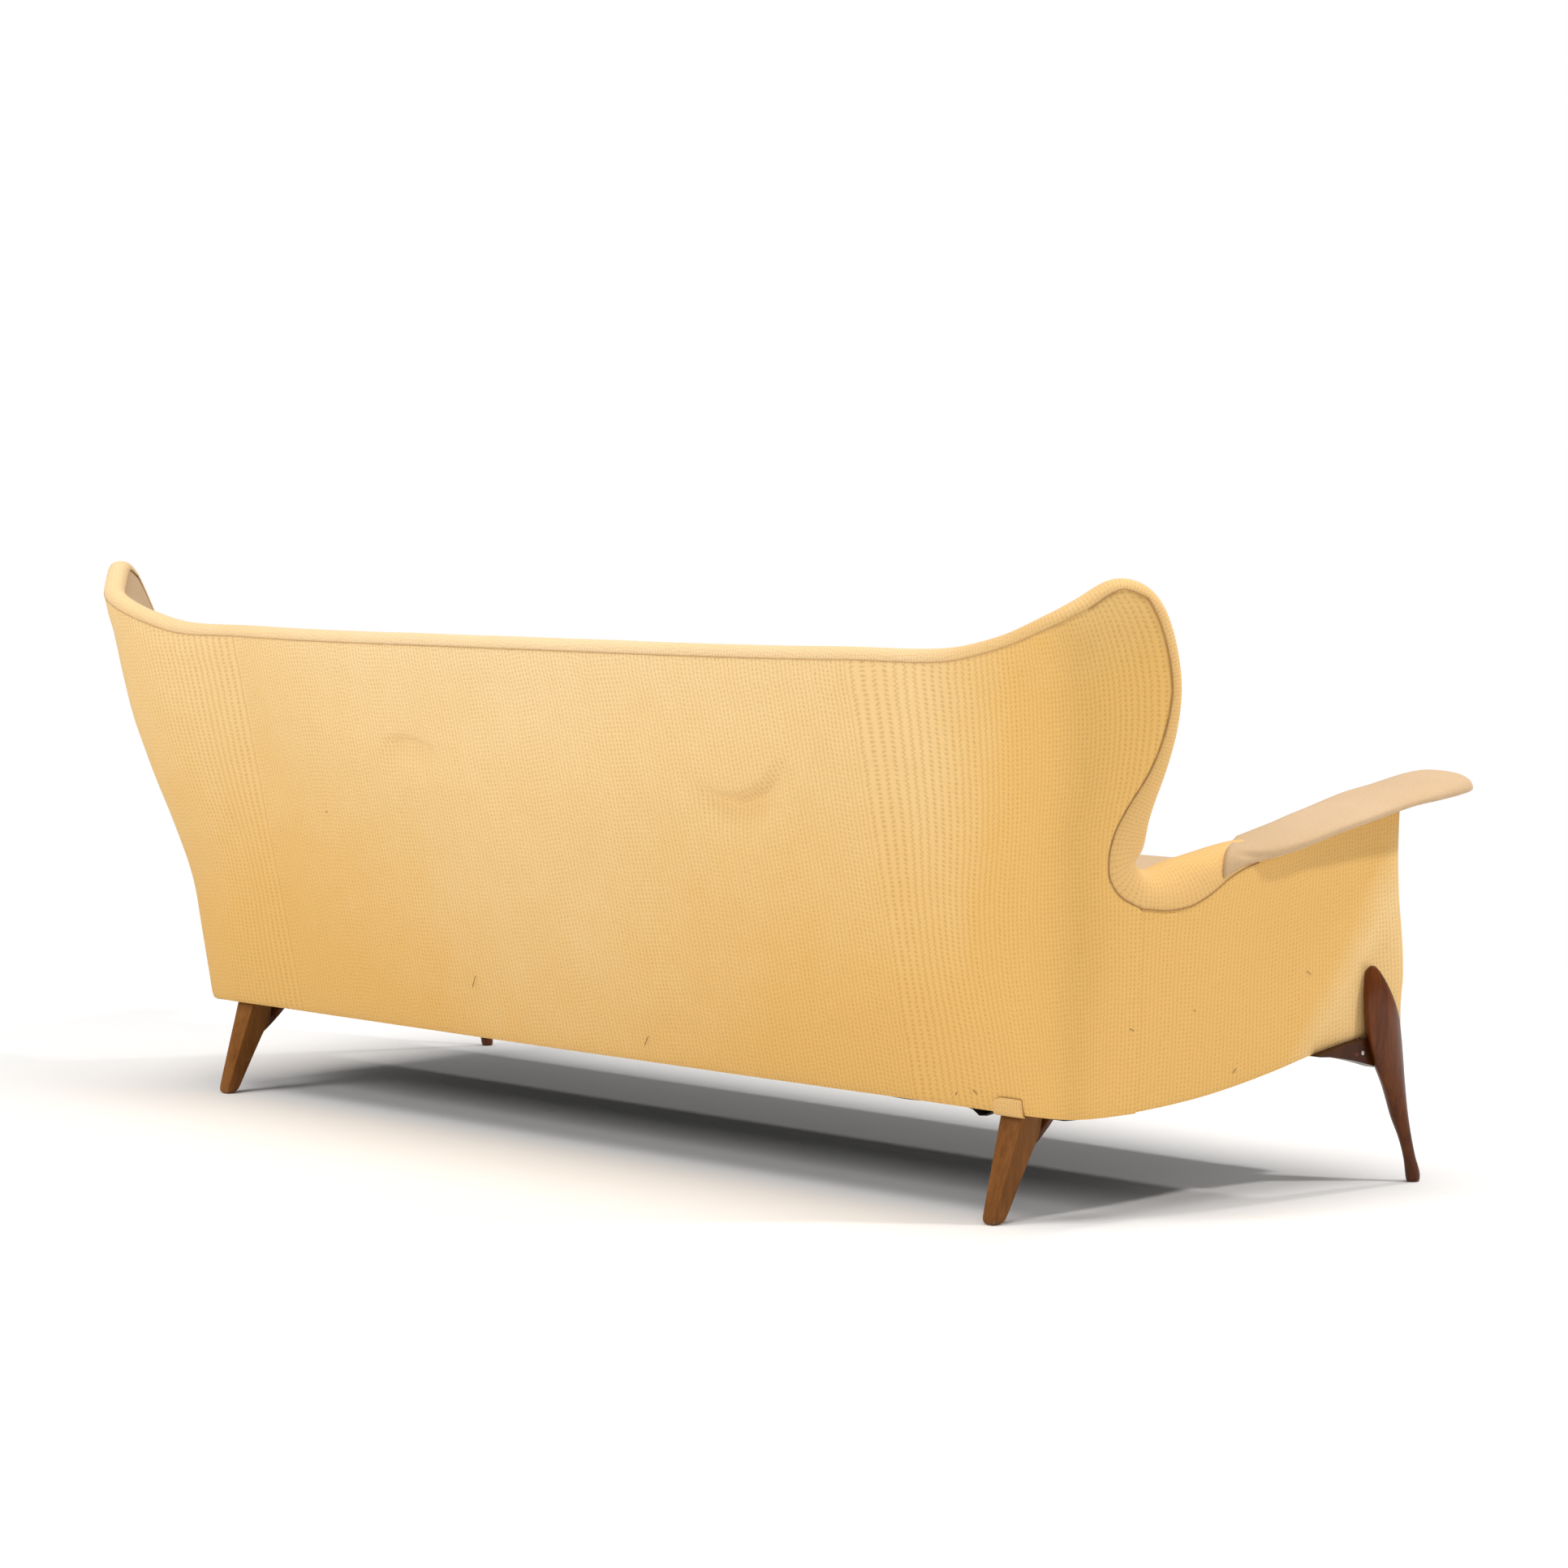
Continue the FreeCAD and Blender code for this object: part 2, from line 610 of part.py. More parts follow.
# Covers of the back, wings and arms
def covers():
    heights = [height(level) for level in EDGE_LEVELS]
    span = top_seam(1) - body_bottom
    rises = [(z - body_bottom) / span for z in heights] + [1.0]
    columns = mirrored(SECTION_SHARES)

    seam_clear = 1.4

    def outside(u, j, k):
        z = body_bottom + j * (top_seam(u) - seam_clear - body_bottom)
        return layer(u * (seam_reach(z) - 0.0018 * ease((z - arm_seam_height) / 30)), z, cloth * k)
    add("outside_back_cover", wall_slab(columns, rises, outside))

    def inside(u, j, k):
        z = wall_foot + j * (top_seam(u) - 2 * seam_clear - wall_foot)
        return layer(u * seam_reach(z), z, thickness(u, z) - cloth * (1 - k))
    add("inside_back_cover", wall_slab(mirrored(BACK_COLUMNS), inner_rises(), inside))
    wing_columns = [0.702, 0.76, 0.82, 0.87, 0.91, 0.95, 0.975, 0.995]
    add_pair("inside_wing_cover", wall_slab(wing_columns, inner_rises(), inside))

    arm_columns = 11

    def under_top(a):
        return arm_top(a) - 0.8
    outer = arm_patch(0.001, 0.997, arm_bottom, under_top, 0.0, cloth, arm_columns, 4)
    inner = arm_patch(0.0, 0.997, lambda a: wall_foot, under_top, arm_wall - cloth, arm_wall, arm_columns, 4)
    add_pair("inside_arm_cover", inner)
    facing = wall_slab(steps(0.0, 1.0, 3), steps(0.0, 1.0, 3),
                       lambda i, j, k: layer(1.998, arm_bottom(1) + j * (under_top(1) - arm_bottom(1)), i * arm_wall)
                       + Vector(0, (-cloth, 0)[k], 0))
    add_pair("arm_front_cover", facing)
    return outer


# The stuffed edge: a wadding roll along the seam, held by the border band
def edge_stations():
    """Stations along the outside seam, from the middle of the top to the arm: (point, half thickness, reach,
    direction into the upholstery)."""
    found = []
    for u in [0.0, 0.5, 0.64, 0.72, 0.79, 0.86, 0.92, 0.965, 0.99]:
        z = top_seam(u)
        found.append((u * seam_reach(z), z))
    tip = len(found)
    for level in [2.275, 2.16, 1.98, 1.78, 1.58, 1.42, 1.3, 1.2, 1.13, 1.08, 1.04]:
        z = height(level)
        found.append((seam_reach(z), z))
    for a in [0.0, 0.07, 0.15, 0.23, 0.27, 0.31]:
        found.append((1 + a, arm_top(a)))
    return found, tip


def edge_rings(stations, inset, first, last, turn_steps):
    """Grids of points round the stuffed edge, inset from its outside, for stations first to last."""
    seam_gap = 1.0
    rings = []
    for n in range(first, last + 1):
        s, z = stations[n]
        before, after = stations[max(n - 1, 0)], stations[min(n + 1, len(stations) - 1)]
        along = layer(after[0], after[1], 0) - layer(before[0], before[1], 0)
        along.normalize()
        angle = math.radians(wall(s, z)[2])
        into = Vector(-math.sin(angle), -math.cos(angle), 0)
        beyond = into.cross(along)
        beyond.normalize()
        half, reach = smooth(EDGE_ROLL, level_of(z))
        half -= inset
        reach -= inset
        ring = []
        for k in range(turn_steps + 1):
            phi = math.pi * k / turn_steps
            beyond_seam = reach * math.sin(phi) + seam_gap
            ring.append(layer(s, z, inset) + into * (half * (1 - math.cos(phi))) + beyond * beyond_seam)
        rings.append(ring)
    return rings


def edge_roll():
    stations, tip = edge_stations()
    last = len(stations) - 1
    wadding = cloth + layer_gap

    def mirror_rings(rings):
        flipped = [[Vector(-p.x, p.y, p.z) for p in ring] for ring in reversed(rings)]
        return flipped[:-1] + rings

    def band(first, end, finish=list):
        outer, inner = [finish(edge_rings(stations, inset, first, end, 8)) for inset in (0.0, cloth)]
        outlines = [a + b[::-1] + a[:1] for a, b in zip(outer, inner)]
        return Part.makeLoft([Part.makePolygon(outline) for outline in outlines], True, True)
    add("top_border_band", band(0, tip, mirror_rings))
    add_pair("wing_border_band", band(tip, last))
    top_roll = mirror_rings(edge_rings(stations, wadding, 0, tip, 4))
    side_roll = edge_rings(stations, wadding, tip, last, 4)
    rolls = [Part.makeLoft([Part.makePolygon(ring + ring[:1]) for ring in rings], True, True)
             for rings in (top_roll, side_roll)]
    add("top_edge_roll", rolls[0])
    add("wing_edge_rolls", *both(rolls[1]))


# Arm rests: a board and foam in a sewn cover
def rest_section(y, half_width, thick, low, inset):
    """Closed section of an arm rest at y: flat below, crowned above, with rounded sides."""
    half_width -= inset
    z0, z1 = low + inset, low + thick - inset
    nose = min(0.42 * (z1 - z0), half_width * 0.45)
    x = rest_centre_x
    left, right = x - half_width, x + half_width
    mid = z0 + (z1 - z0) * 0.5
    corners = [Vector(left + nose, y, z0), Vector(right - nose, y, z0), Vector(right, y, mid - 2),
               Vector(right - nose, y, z1 - nose * 0.35), Vector(x, y, z1),
               Vector(left + nose, y, z1 - nose * 0.35), Vector(left, y, mid - 2)]
    if inset > 0:
        return Part.makePolygon(corners + corners[:1])
    a, b, c, d, e, f, g = corners
    edges = [Part.makeLine(a, b), Part.Arc(b, c, d).toShape(), Part.Arc(d, e, f).toShape(),
             Part.Arc(f, g, a).toShape()]
    return Part.Wire(edges)


def rest_rows():
    """Sections of an arm rest from its rear fold to its tip: (y, half width, thickness, underside height)."""
    front = arm_front(arm_top(1))[1]
    tip = front - rest_overhang - 13
    rear = -300.0
    length = rear - tip
    rows = []
    for along, width_share, thick_share in [(0.0, 0.76, 0.80), (0.05, 0.90, 0.95), (0.15, 0.96, 1.0),
                                            (0.40, 1.0, 1.0), (0.65, 1.0, 1.0), (0.80, 0.97, 0.96),
                                            (0.90, 0.82, 0.88), (0.96, 0.58, 0.76), (0.993, 0.24, 0.55)]:
        y = rear - along * length
        share = share_at(y, lambda s: arm_top(max(s - 1, 0))) - 1
        if y < front:
            share = 1 + (front - y) / 600
        low = arm_top(share) + layer_gap
        thick = rest_thickness * thick_share
        rows.append((y, rest_half_width * width_share, thick, low + (rest_thickness - thick) * 0.5))
    return rows


def arm_rests():
    def body(inset, end_inset):
        rows = rest_rows()
        rows[0] = (rows[0][0] - end_inset,) + rows[0][1:]
        rows[-1] = (rows[-1][0] + end_inset * 1.5,) + rows[-1][1:]
        return Part.makeLoft([rest_section(*row, inset) for row in rows], True, True)
    add_pair("arm_rest_cover", hollow(body(0.0, 0.0), body(cloth, cloth + 0.5)))
    filling = body(cloth + 0.3, cloth + 1.0)
    rows = rest_rows()
    low_line = [(row[0], row[3] - 5) for row in rows]
    high_line = [(row[0], row[3] + cloth + rest_board) for row in rows]
    low_line = [(rows[0][0] + 10, rows[0][3] - 5)] + low_line + [(rows[-1][0] - 10, rows[-1][3] - 5)]
    high_line = [(rows[0][0] + 10, rows[0][3] + cloth + rest_board)] + high_line
    high_line += [(rows[-1][0] - 10, rows[-1][3] + cloth + rest_board)]
    x0, x1 = rest_centre_x - 2 * rest_half_width, rest_centre_x + 2 * rest_half_width
    under = prism_x(low_line + high_line[::-1], x0, x1)
    under_clear = prism_x(low_line + [(y, z + 0.3) for y, z in high_line[::-1]], x0, x1)
    add("arm_rest_boards", *both(filling.common(under)))
    add_pair("arm_rest_pad", filling.cut(under_clear))


# Seat cushions: a foam core in a boxed cover, crowned on top and drawn in at the sides
def rounded_rectangle(x0, x1, y0, y1, z, radii):
    """Closed outline; radii are for the corners at (x0, y0), (x1, y0), (x1, y1), (x0, y1). A negative radius
    cuts the corner straight."""
    corners = [(x0, y0), (x1, y0), (x1, y1), (x0, y1)]
    arcs = []
    for n, (x, y) in enumerate(corners):
        r = abs(radii[n])
        sx, sy = (1 if x == x0 else -1), (1 if y == y0 else -1)
        on_x, on_y = Vector(x + sx * r, y, z), Vector(x, y + sy * r, z)
        short = r * (1 - math.sqrt(0.5))
        middle = Vector(x + sx * short, y + sy * short, z)
        first, second = (on_y, on_x) if n in (0, 2) else (on_x, on_y)
        arcs.append((first, middle, second))
    edges = []
    for n, (first, middle, second) in enumerate(arcs):
        if radii[n] < 0:
            edges.append(Part.makeLine(first, second))
        else:
            edges.append(Part.Arc(first, middle, second).toShape())
        edges.append(Part.makeLine(second, arcs[(n + 1) % 4][0]))
    return Part.Wire(edges)


def cushion_body(x0, x1, y0, y1, low, radii, inset):
    """Loft of a crowned cushion. What lies inside its cover has plain cut corners."""
    rows = [(0.0, 13.0), (0.12, 3.0), (0.5, 0.0), (0.88, 3.0), (1.0, 13.0)]
    turn = -1 if inset > 0 else 1
    tall = cushion_height - 2 * inset
    wires = []
    for share, draw in rows:
        d = draw + inset
        z = low + inset + share * tall
        corners = [turn * max(r - d * 0.6, 6.0) for r in radii]
        wires.append(rounded_rectangle(x0 + d, x1 - d, y0 + d, y1 - d, z, corners))
    for rise, draw in [(0.6, 75.0), (1.0, 190.0)]:
        d = draw + inset
        z = low + inset + tall + rise * cushion_crown
        wires.append(rounded_rectangle(x0 + d, x1 - d, y0 + d, y1 - d, z, [turn * 30.0] * 4))
    return Part.makeLoft(wires, True, True)


def cushions(cover_front):
    low = deck_top + 0.3
    corner_out = layer(1.5, low, arm_wall).x - cushion_side_clearance
    each = 2 * corner_out / 3
    y0, y1 = cover_front - 6, layer(FLAT_SHARE, deck_top, 2 * edge_radius + back_crown).y - 3
    gap = 1.0
    for n, name in enumerate(["right", "centre", "left"]):
        x0, x1 = -corner_out + n * each + gap, -corner_out + (n + 1) * each - gap
        radii = [22.0, 22.0, 22.0, 22.0]
        if name == "left":
            radii[2] = 75.0
        if name == "right":
            radii[3] = 75.0
        outside = cushion_body(x0, x1, y0, y1, low, radii, 0.0)
        add("seat_cushion_cover_" + name, hollow(outside, cushion_body(x0, x1, y0, y1, low, radii, cloth)))
        add("seat_cushion_core_" + name, cushion_body(x0, x1, y0, y1, low, radii, cloth + 0.4))


# Legs
def oval(x, y, z, half_x, half_y, inner_flat):
    """Pointed oval section of a front leg, from four arcs, flattened on the side towards the body."""
    ends = [Vector(x, y - half_y, z), Vector(x + half_x, y, z), Vector(x, y + half_y, z),
            Vector(x - half_x * inner_flat, y, z)]
    bulge = 0.72
    edges = []
    for n in range(4):
        p, q = ends[n], ends[(n + 1) % 4]
        wide = half_x * (inner_flat if n in (2, 3) else 1.0)
        sx = 1 if n in (0, 1) else -1
        sy = -1 if n in (0, 3) else 1
        middle = Vector(x + sx * wide * bulge, y + sy * half_y * bulge, z)
        edges.append(Part.Arc(p, middle, q).toShape())
    return Part.Wire(edges)


def front_leg():
    wires = [oval(front_foot_x, y, z, half_x, half_y, 0.9) for z, y, half_y, half_x in FRONT_LEG]
    return Part.makeLoft(wires, True, False)


def front_bracket(leg):
    """Fin under the side rail: its top follows the body's bottom edge, its lower edge sweeps to the leg."""
    y_tail, y_leg = -510.0, -648.0
    ys = steps(y_tail, y_leg, 6)
    top = [(y, bottom_edge(y) - 0.3) for y in ys]
    depth_at_leg = 48.0
    lower = [(y, z - 2 - depth_at_leg * ((y_tail - y) / (y_tail - y_leg))**1.15) for y, z in top]
    fin = prism_x(top + lower[::-1], front_foot_x - 10 - bracket_width, front_foot_x - 8)
    return fin.cut(leg)


def rear_leg():
    """Tapered leg raked backwards, with a web that runs forward under the side of the seat."""
    top, web_reach = body_bottom + 5, 60.0
    top_back = -50.0
    wires = []
    for share in (0.0, 0.08, 0.5, 1.0):
        z = share * top
        half = (rear_foot_side + (rear_leg_width - rear_foot_side) * share) / 2
        deep = rear_foot_side + (rear_leg_depth - rear_foot_side) * share
        back = top_back + rear_rake * (1 - share) + (-3 if share == 0 else 0)
        half -= 3 if share == 0 else 0
        deep -= 6 if share == 0 else 0
        wires.append(rounded_rectangle(rear_foot_x - half, rear_foot_x + half, back - deep, back, z, [3.0] * 4))
    leg = Part.makeLoft(wires, True, True)
    web_half = 9.0
    front = top_back - rear_leg_depth
    web = prism_x([(front + 12, top), (front - web_reach, top), (front - web_reach + 12, top - 17),
                   (front - 14, 0.64 * top), (front + 12, 0.36 * top), (front + 22, 0.3 * top)],
                  rear_foot_x - web_half, rear_foot_x + web_half)
    return leg.fuse(web).removeSplitter()


def rod(start, along):
    """Ten-sided screw shank from start."""
    corners = []
    for k in range(11):
        turn = math.tau * k / 10
        a, b = screw_radius * math.cos(turn), screw_radius * math.sin(turn)
        corners.append(start + (Vector(a, b, 0) if along.x == 0 else Vector(0, a, b)))
    return Part.Face(Part.makePolygon(corners)).extrude(along)


def legs(side_rail, outside_arm):
    leg = front_leg()
    bracket = front_bracket(leg)
    screw_x = front_foot_x - 8 - bracket_width / 2
    screws = [rod(Vector(screw_x, y, bottom_edge(y) - 17), Vector(0, 0, 42)) for y in (-545.0, -598.0)]
    cross_y, cross_z = -642.0, bottom_edge(-642.0) + 36
    cross_start = layer(1.86, cross_z, frame_in).x - 2
    screws.append(rod(Vector(cross_start, cross_y, cross_z), Vector(front_foot_x - cross_start, 0, 0)))
    for screw in screws:
        leg = leg.cut(screw)
        bracket = bracket.cut(screw)
        side_rail = side_rail.cut(screw)
        outside_arm = outside_arm.cut(screw)
    add_pair("front_leg", leg)
    add("front_leg_brackets", *both(bracket))
    add_pair("rear_leg", rear_leg())
    add("leg_screws", *both(*screws))
    add_pair("side_rail", side_rail)
    add_pair("outside_arm_cover", outside_arm)


def build():
    back_frame()
    side_rail, rail_back, front_face, rail_ends = seat_frame()
    suspension(rail_back, front_face)
    dust_cover()
    cover_front = pads(front_face, rail_ends)
    outside_arm = covers()
    edge_roll()
    arm_rests()
    cushions(cover_front)
    legs(side_rail, outside_arm)

    everything = Part.Compound([solid for solids in pieces.values() for solid in solids])
    low, high = everything.BoundBox.YMin, everything.BoundBox.YMax
    shift = Vector(0, -(low + high) / 2, 0)
    os.makedirs("parts", exist_ok=True)
    for name, solids in pieces.items():
        shape = Part.Compound(solids) if len(solids) > 1 else solids[0]
        shape.translated(shift).exportStep("parts/" + name + ".step")
    print("nodes", len(pieces), "shift", round(shift.y, 2), "box", everything.BoundBox)


build()
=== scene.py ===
"""Winged sofa with a ribbed woollen cover, swept arms and splayed hardwood legs.

The camera stands behind its right rear corner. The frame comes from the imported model. Lengths in the shape
functions are in millimetres and count along Y from the line of the rear feet, as in the part's own source;
to_m() puts a point into the frame, in metres.
"""
import json
import math

import bmesh
import bpy
from mathutils import Matrix, Vector, noise


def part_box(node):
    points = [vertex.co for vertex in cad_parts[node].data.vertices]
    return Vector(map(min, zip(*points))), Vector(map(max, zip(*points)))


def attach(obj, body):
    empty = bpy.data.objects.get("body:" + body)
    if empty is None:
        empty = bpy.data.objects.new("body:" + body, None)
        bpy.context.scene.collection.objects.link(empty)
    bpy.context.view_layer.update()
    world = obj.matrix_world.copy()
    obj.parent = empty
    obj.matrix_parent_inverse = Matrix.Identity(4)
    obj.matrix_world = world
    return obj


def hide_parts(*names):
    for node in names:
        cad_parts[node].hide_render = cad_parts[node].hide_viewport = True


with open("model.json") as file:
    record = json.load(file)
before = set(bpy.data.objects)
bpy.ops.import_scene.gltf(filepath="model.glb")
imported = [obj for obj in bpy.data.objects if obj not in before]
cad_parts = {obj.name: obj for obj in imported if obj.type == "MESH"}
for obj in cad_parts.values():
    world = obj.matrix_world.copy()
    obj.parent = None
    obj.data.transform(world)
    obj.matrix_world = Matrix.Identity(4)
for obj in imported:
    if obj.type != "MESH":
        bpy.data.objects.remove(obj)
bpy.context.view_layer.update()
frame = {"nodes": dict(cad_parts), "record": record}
BODY = "sofa"

# Sizes that the part's source also has
body_half_width = 1000.0
body_bottom = 150.0
arm_seam_height = 438.0
back_seam_height = 768.0
body_front = -707.0
recline = 162.0 / 635.0
back_foot_y = -34.0
front_lean = 0.0957
front_flare = 0.047
front_out = 27.0
front_rise = 76.0
bow_bottom, bow_top = 4.0, 26.0
flat_half_width = 700.0
edge_radius = 18.0
arm_wall = 76.0
back_crown = 79.0
wing_crown = 14.0
deck_top = 323.5
wall_foot = 306.5
front_foot_x = 1048.0
rear_foot_x = 876.0
# Share of the half section that is the almost flat middle of the back
FLAT_SHARE = 0.62
FRONT_RAIL_FACE = body_front + 23
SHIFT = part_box("front_rail")[0][1] * 1000 - FRONT_RAIL_FACE

# Outside corner line by level: x beyond body_half_width, y, the wall's turn in degrees and its fullness
CORNER_LINE = [
    (0, 0, -163, 88, 1.61), (0.35, 16, -150, 86, 1.49), (0.7, 36, -130, 84, 1.32),
    (1, 58, -110, 80, 1.35), (1.31, 92, -92, 72, 1.52), (1.58, 134, -75, 66, 1.49),
    (1.79, 156, -64, 62, 1.47), (2, 166, -50, 59, 1.5), (2.22, 169, -16, 54, 1.53),
    (2.34, 163, 12, 50, 1.52)]
# Share of the section at which the wing's edge lies, by level
SEAM_REACH = [
    (1, 1), (1.04, 0.974), (1.12, 0.95), (1.2, 0.946), (1.32, 0.952), (1.43, 0.964), (1.57, 0.98),
    (1.79, 0.992), (1.9, 0.995)]
# Level of the top seam by share of the section
TOP_SEAM = [
    (0, 1.995), (0.62, 2), (0.69, 2.005), (0.745, 2.058), (0.82, 2.13), (0.895, 2.19), (0.94, 2.24),
    (0.97, 2.29), (0.985, 2.308), (1, 2.275)]
# Rise of the bottom edge by y, then the rise of the arm's top by share of its length
BOTTOM_EDGE = [
    (-705, 76), (-640, 70), (-520, 53), (-430, 35), (-300, 13), (-160, 2), (-60, 0)]
ARM_LINE = [
    (0, 0), (0.084, -5), (0.166, 1), (0.234, 19), (0.276, 34), (0.314, 43), (0.38, 52),
    (0.517, 71), (0.76, 97), (0.9, 109), (1, 114), (1.16, 120)]
# Stuffed edge of the wing: half its thickness and how far it stands out, by level
EDGE_ROLL = [
    (1, 38, 44), (1.04, 37, 58), (1.12, 34, 62), (1.2, 31, 64), (1.32, 28, 58),
    (1.43, 25, 43), (1.57, 22, 30), (1.79, 18, 20), (2, 18, 18)]
# How far the band stands out over the arm, by share of the arm's length
ARM_ROLL = [
    (0, 44), (0.084, 57), (0.166, 62), (0.234, 54), (0.276, 43), (0.314, 36), (0.37, 31),
    (0.42, 26), (0.47, 18), (0.56, 6), (1, 4)]
# How far the arm's front edge lies behind its line at each height
FRONT_EDGE = [
    (226, 0), (255, -0.8), (302, -7.5), (330, -7.5), (360, -5.2), (437, 1.1), (480, 0.7),
    (546, -4.2)]
# Arm rests, by distance forward from the rear feet: outer edge, inner edge, crest and lift of the underside
REST = [
    (235, 1080, 1003, 51, 0), (250, 1082, 1003, 48.5, 0), (275, 1086, 1003, 38.5, 0),
    (299, 1089, 1003, 31.5, 0), (322, 1095, 1000, 27.5, -1), (345, 1104, 997, 24.5, -3),
    (370, 1110, 994, 22, -4), (465, 1112, 984, 19, -4), (555, 1112, 970, 19, -3),
    (600, 1112, 964, 20.5, -1), (647, 1112, 958, 24, 1.5), (700, 1112, 954.5, 28, 2.5),
    (735, 1111, 956, 32.5, 4), (757, 1109, 960, 35, 5), (771, 1104, 968, 35.5, 6.5),
    (780, 1096, 980, 34.5, 8), (784, 1084, 996, 32.5, 10), (786, 1066, 1012, 29.5, 12)]
REST_REAR, REST_FRONT = REST[0][0], REST[-1][0]
# Front leg by height: y of its middle, half its depth and half its width
FRONT_LEG = [
    (0, -714, 10, 10), (10, -713, 11, 11), (35, -706, 9, 9), (65, -697, 8.5, 8.5),
    (100, -684, 12, 10.5), (140, -671, 20, 12), (180, -657, 30, 12.8),
    (215, -648, 34.5, 13), (245, -642, 34.5, 12.6), (275, -634, 28, 10.8),
    (300, -626, 17.5, 8), (316, -620, 8, 4.5), (322, -617.5, 2.5, 2)]
LEFT_AND_RIGHT = ((1, "left"), (-1, "right"))


def smooth(rows, t):
    """Values at t of the smooth curve through rows of (t, value, ...), level beyond its ends."""
    if t <= rows[0][0]:
        return rows[0][1:]
    if t >= rows[-1][0]:
        return rows[-1][1:]
    last = len(rows) - 1
    i = max(k for k in range(last) if rows[k][0] <= t)

    def slope(k, c):
        low, high = max(k - 1, 0), min(k + 1, last)
        if low == k or high == k:
            return (rows[high][c] - rows[low][c]) / (rows[high][0] - rows[low][0])
        before = (rows[k][c] - rows[low][c]) / (rows[k][0] - rows[low][0])
        after = (rows[high][c] - rows[k][c]) / (rows[high][0] - rows[k][0])
        wide = rows[high][0] - rows[low][0]
        return (before * (rows[high][0] - rows[k][0]) + after * (rows[k][0] - rows[low][0])) / wide

    step = rows[i + 1][0] - rows[i][0]
    q = (t - rows[i][0]) / step
    found = []
    for c in range(1, len(rows[0])):
        a, b = rows[i][c], rows[i + 1][c]
        ma, mb = slope(i, c) * step, slope(i + 1, c) * step
        found.append((2 * q**3 - 3 * q**2 + 1) * a + (q**3 - 2 * q**2 + q) * ma
                     + (3 * q**2 - 2 * q**3) * b + (q**3 - q**2) * mb)
    return tuple(found)


def ease(t):
    t = min(max(t, 0.0), 1.0)
    return t * t * (3 - 2 * t)


def height(level):
    if level <= 1:
        return body_bottom + level * (arm_seam_height - body_bottom)
    return arm_seam_height + (level - 1) * (back_seam_height - arm_seam_height)


def level_of(z):
    if z <= arm_seam_height:
        return (z - body_bottom) / (arm_seam_height - body_bottom)
    return 1 + (z - arm_seam_height) / (back_seam_height - arm_seam_height)


def bottom_edge(y):
    return body_bottom + smooth(BOTTOM_EDGE, y)[0]


def cubic(p, t):
    w = ((1 - t)**3, 3 * (1 - t)**2 * t, 3 * (1 - t) * t * t, t**3)
    return tuple(sum(w[k] * p[k][c] for k in range(4)) for c in (0, 1))


def arm_front(z):
    """Place of the arm's front edge at height z, before the wave of FRONT_EDGE."""
    up = z - body_bottom
    return body_half_width + front_out + front_flare * up, body_front + front_lean * (up - front_rise)


def wall(s, z):
    """Outside face at height z: s is 0 at the middle, 1 at the corner line and 2 at the arm's front edge."""
    side, a = (-1 if s < 0 else 1), abs(s)
    rise = (z - body_bottom) / (back_seam_height - body_bottom)
    bow = bow_bottom + (bow_top - bow_bottom) * rise
    middle = back_foot_y + recline * (z - body_bottom)
    if a <= FLAT_SHARE:
        x = a / FLAT_SHARE * flat_half_width
        return side * x, middle - bow * (x / flat_half_width)**2, 0.0
    out, y_corner, turn, fullness = smooth(CORNER_LINE, level_of(z))
    corner = (body_half_width + out, y_corner)
    angle = math.radians(turn)
    if a <= 1:
        t = (a - FLAT_SHARE) / (1 - FLAT_SHARE)
        start = (flat_half_width, middle - bow)
        reach = fullness * math.dist(start, corner)
        slope = -2 * bow / flat_half_width
        leave, arrive = 0.55 * reach, 0.3 * reach
        p1 = (start[0] + leave, start[1] + leave * slope)
        p2 = (corner[0] - arrive * math.cos(angle), corner[1] + arrive * math.sin(angle))
        x, y = cubic((start, p1, p2, corner), t)
        return side * x, y, turn * ease(t)
    front = arm_front(z)
    third = math.dist(corner, front) / 3
    p1 = (corner[0] + third * math.cos(angle), corner[1] - third * math.sin(angle))
    p2 = (front[0], front[1] + third)
    x, y = cubic((corner, p1, p2, front), min(a - 1, 1.0))
    return side * x, y, turn + (90 - turn) * ease(a - 1)


def inward(s, z):
    """Level direction into the sofa, square to the wall."""
    side = -1 if s < 0 else 1
    angle = math.radians(wall(s, z)[2])
    return Vector((-side * math.sin(angle), -math.cos(angle), 0))


def layer(s, z, depth):
    """Point at a depth behind the outside face."""
    x, y, _ = wall(s, z)
    return Vector((x, y, z)) + inward(s, z) * depth


def seam_reach(z):
    return smooth(SEAM_REACH, level_of(z))[0]


def top_seam(u):
    return height(smooth(TOP_SEAM, abs(u))[0])


def arm_top(a):
    return arm_seam_height + smooth(ARM_LINE, a)[0]


def arm_bottom(a):
    return bottom_edge(wall(1 + a, body_bottom + 60)[1])


def crossing(low, high, rounds, before):
    """Where before() turns false between low and high, by halving."""
    for _ in range(rounds):
        middle = (low + high) / 2
        if before(middle):
            low = middle
        else:
            high = middle
    return low


def share_at(y, height_at):
    """Share of the section at which the wall passes y; height_at gives the height for a share."""
    return crossing(FLAT_SHARE, 2.0, 40, lambda s: layer(s, height_at(s), 0).y > y)


def share_for_x(x, z):
    """Share of the section at which the wall at height z passes x."""
    return crossing(0.3, 1.0, 30, lambda s: wall(s, z)[0] < x)


def thickness(u, z):
    """Depth of the inside face behind the outside face, for share u of the section and height z."""
    u = abs(u)
    below_top = top_seam(u) - z
    edge = 2 * smooth(EDGE_ROLL, level_of(z))[0] if z > arm_seam_height else arm_wall
    back = 2 * edge_radius + back_crown * ease(below_top / 190)
    wing = edge + wing_crown * ease(below_top / 90) * ease((1 - u) / 0.08)
    return wing + (back - wing) * ease((0.97 - u) / 0.35)


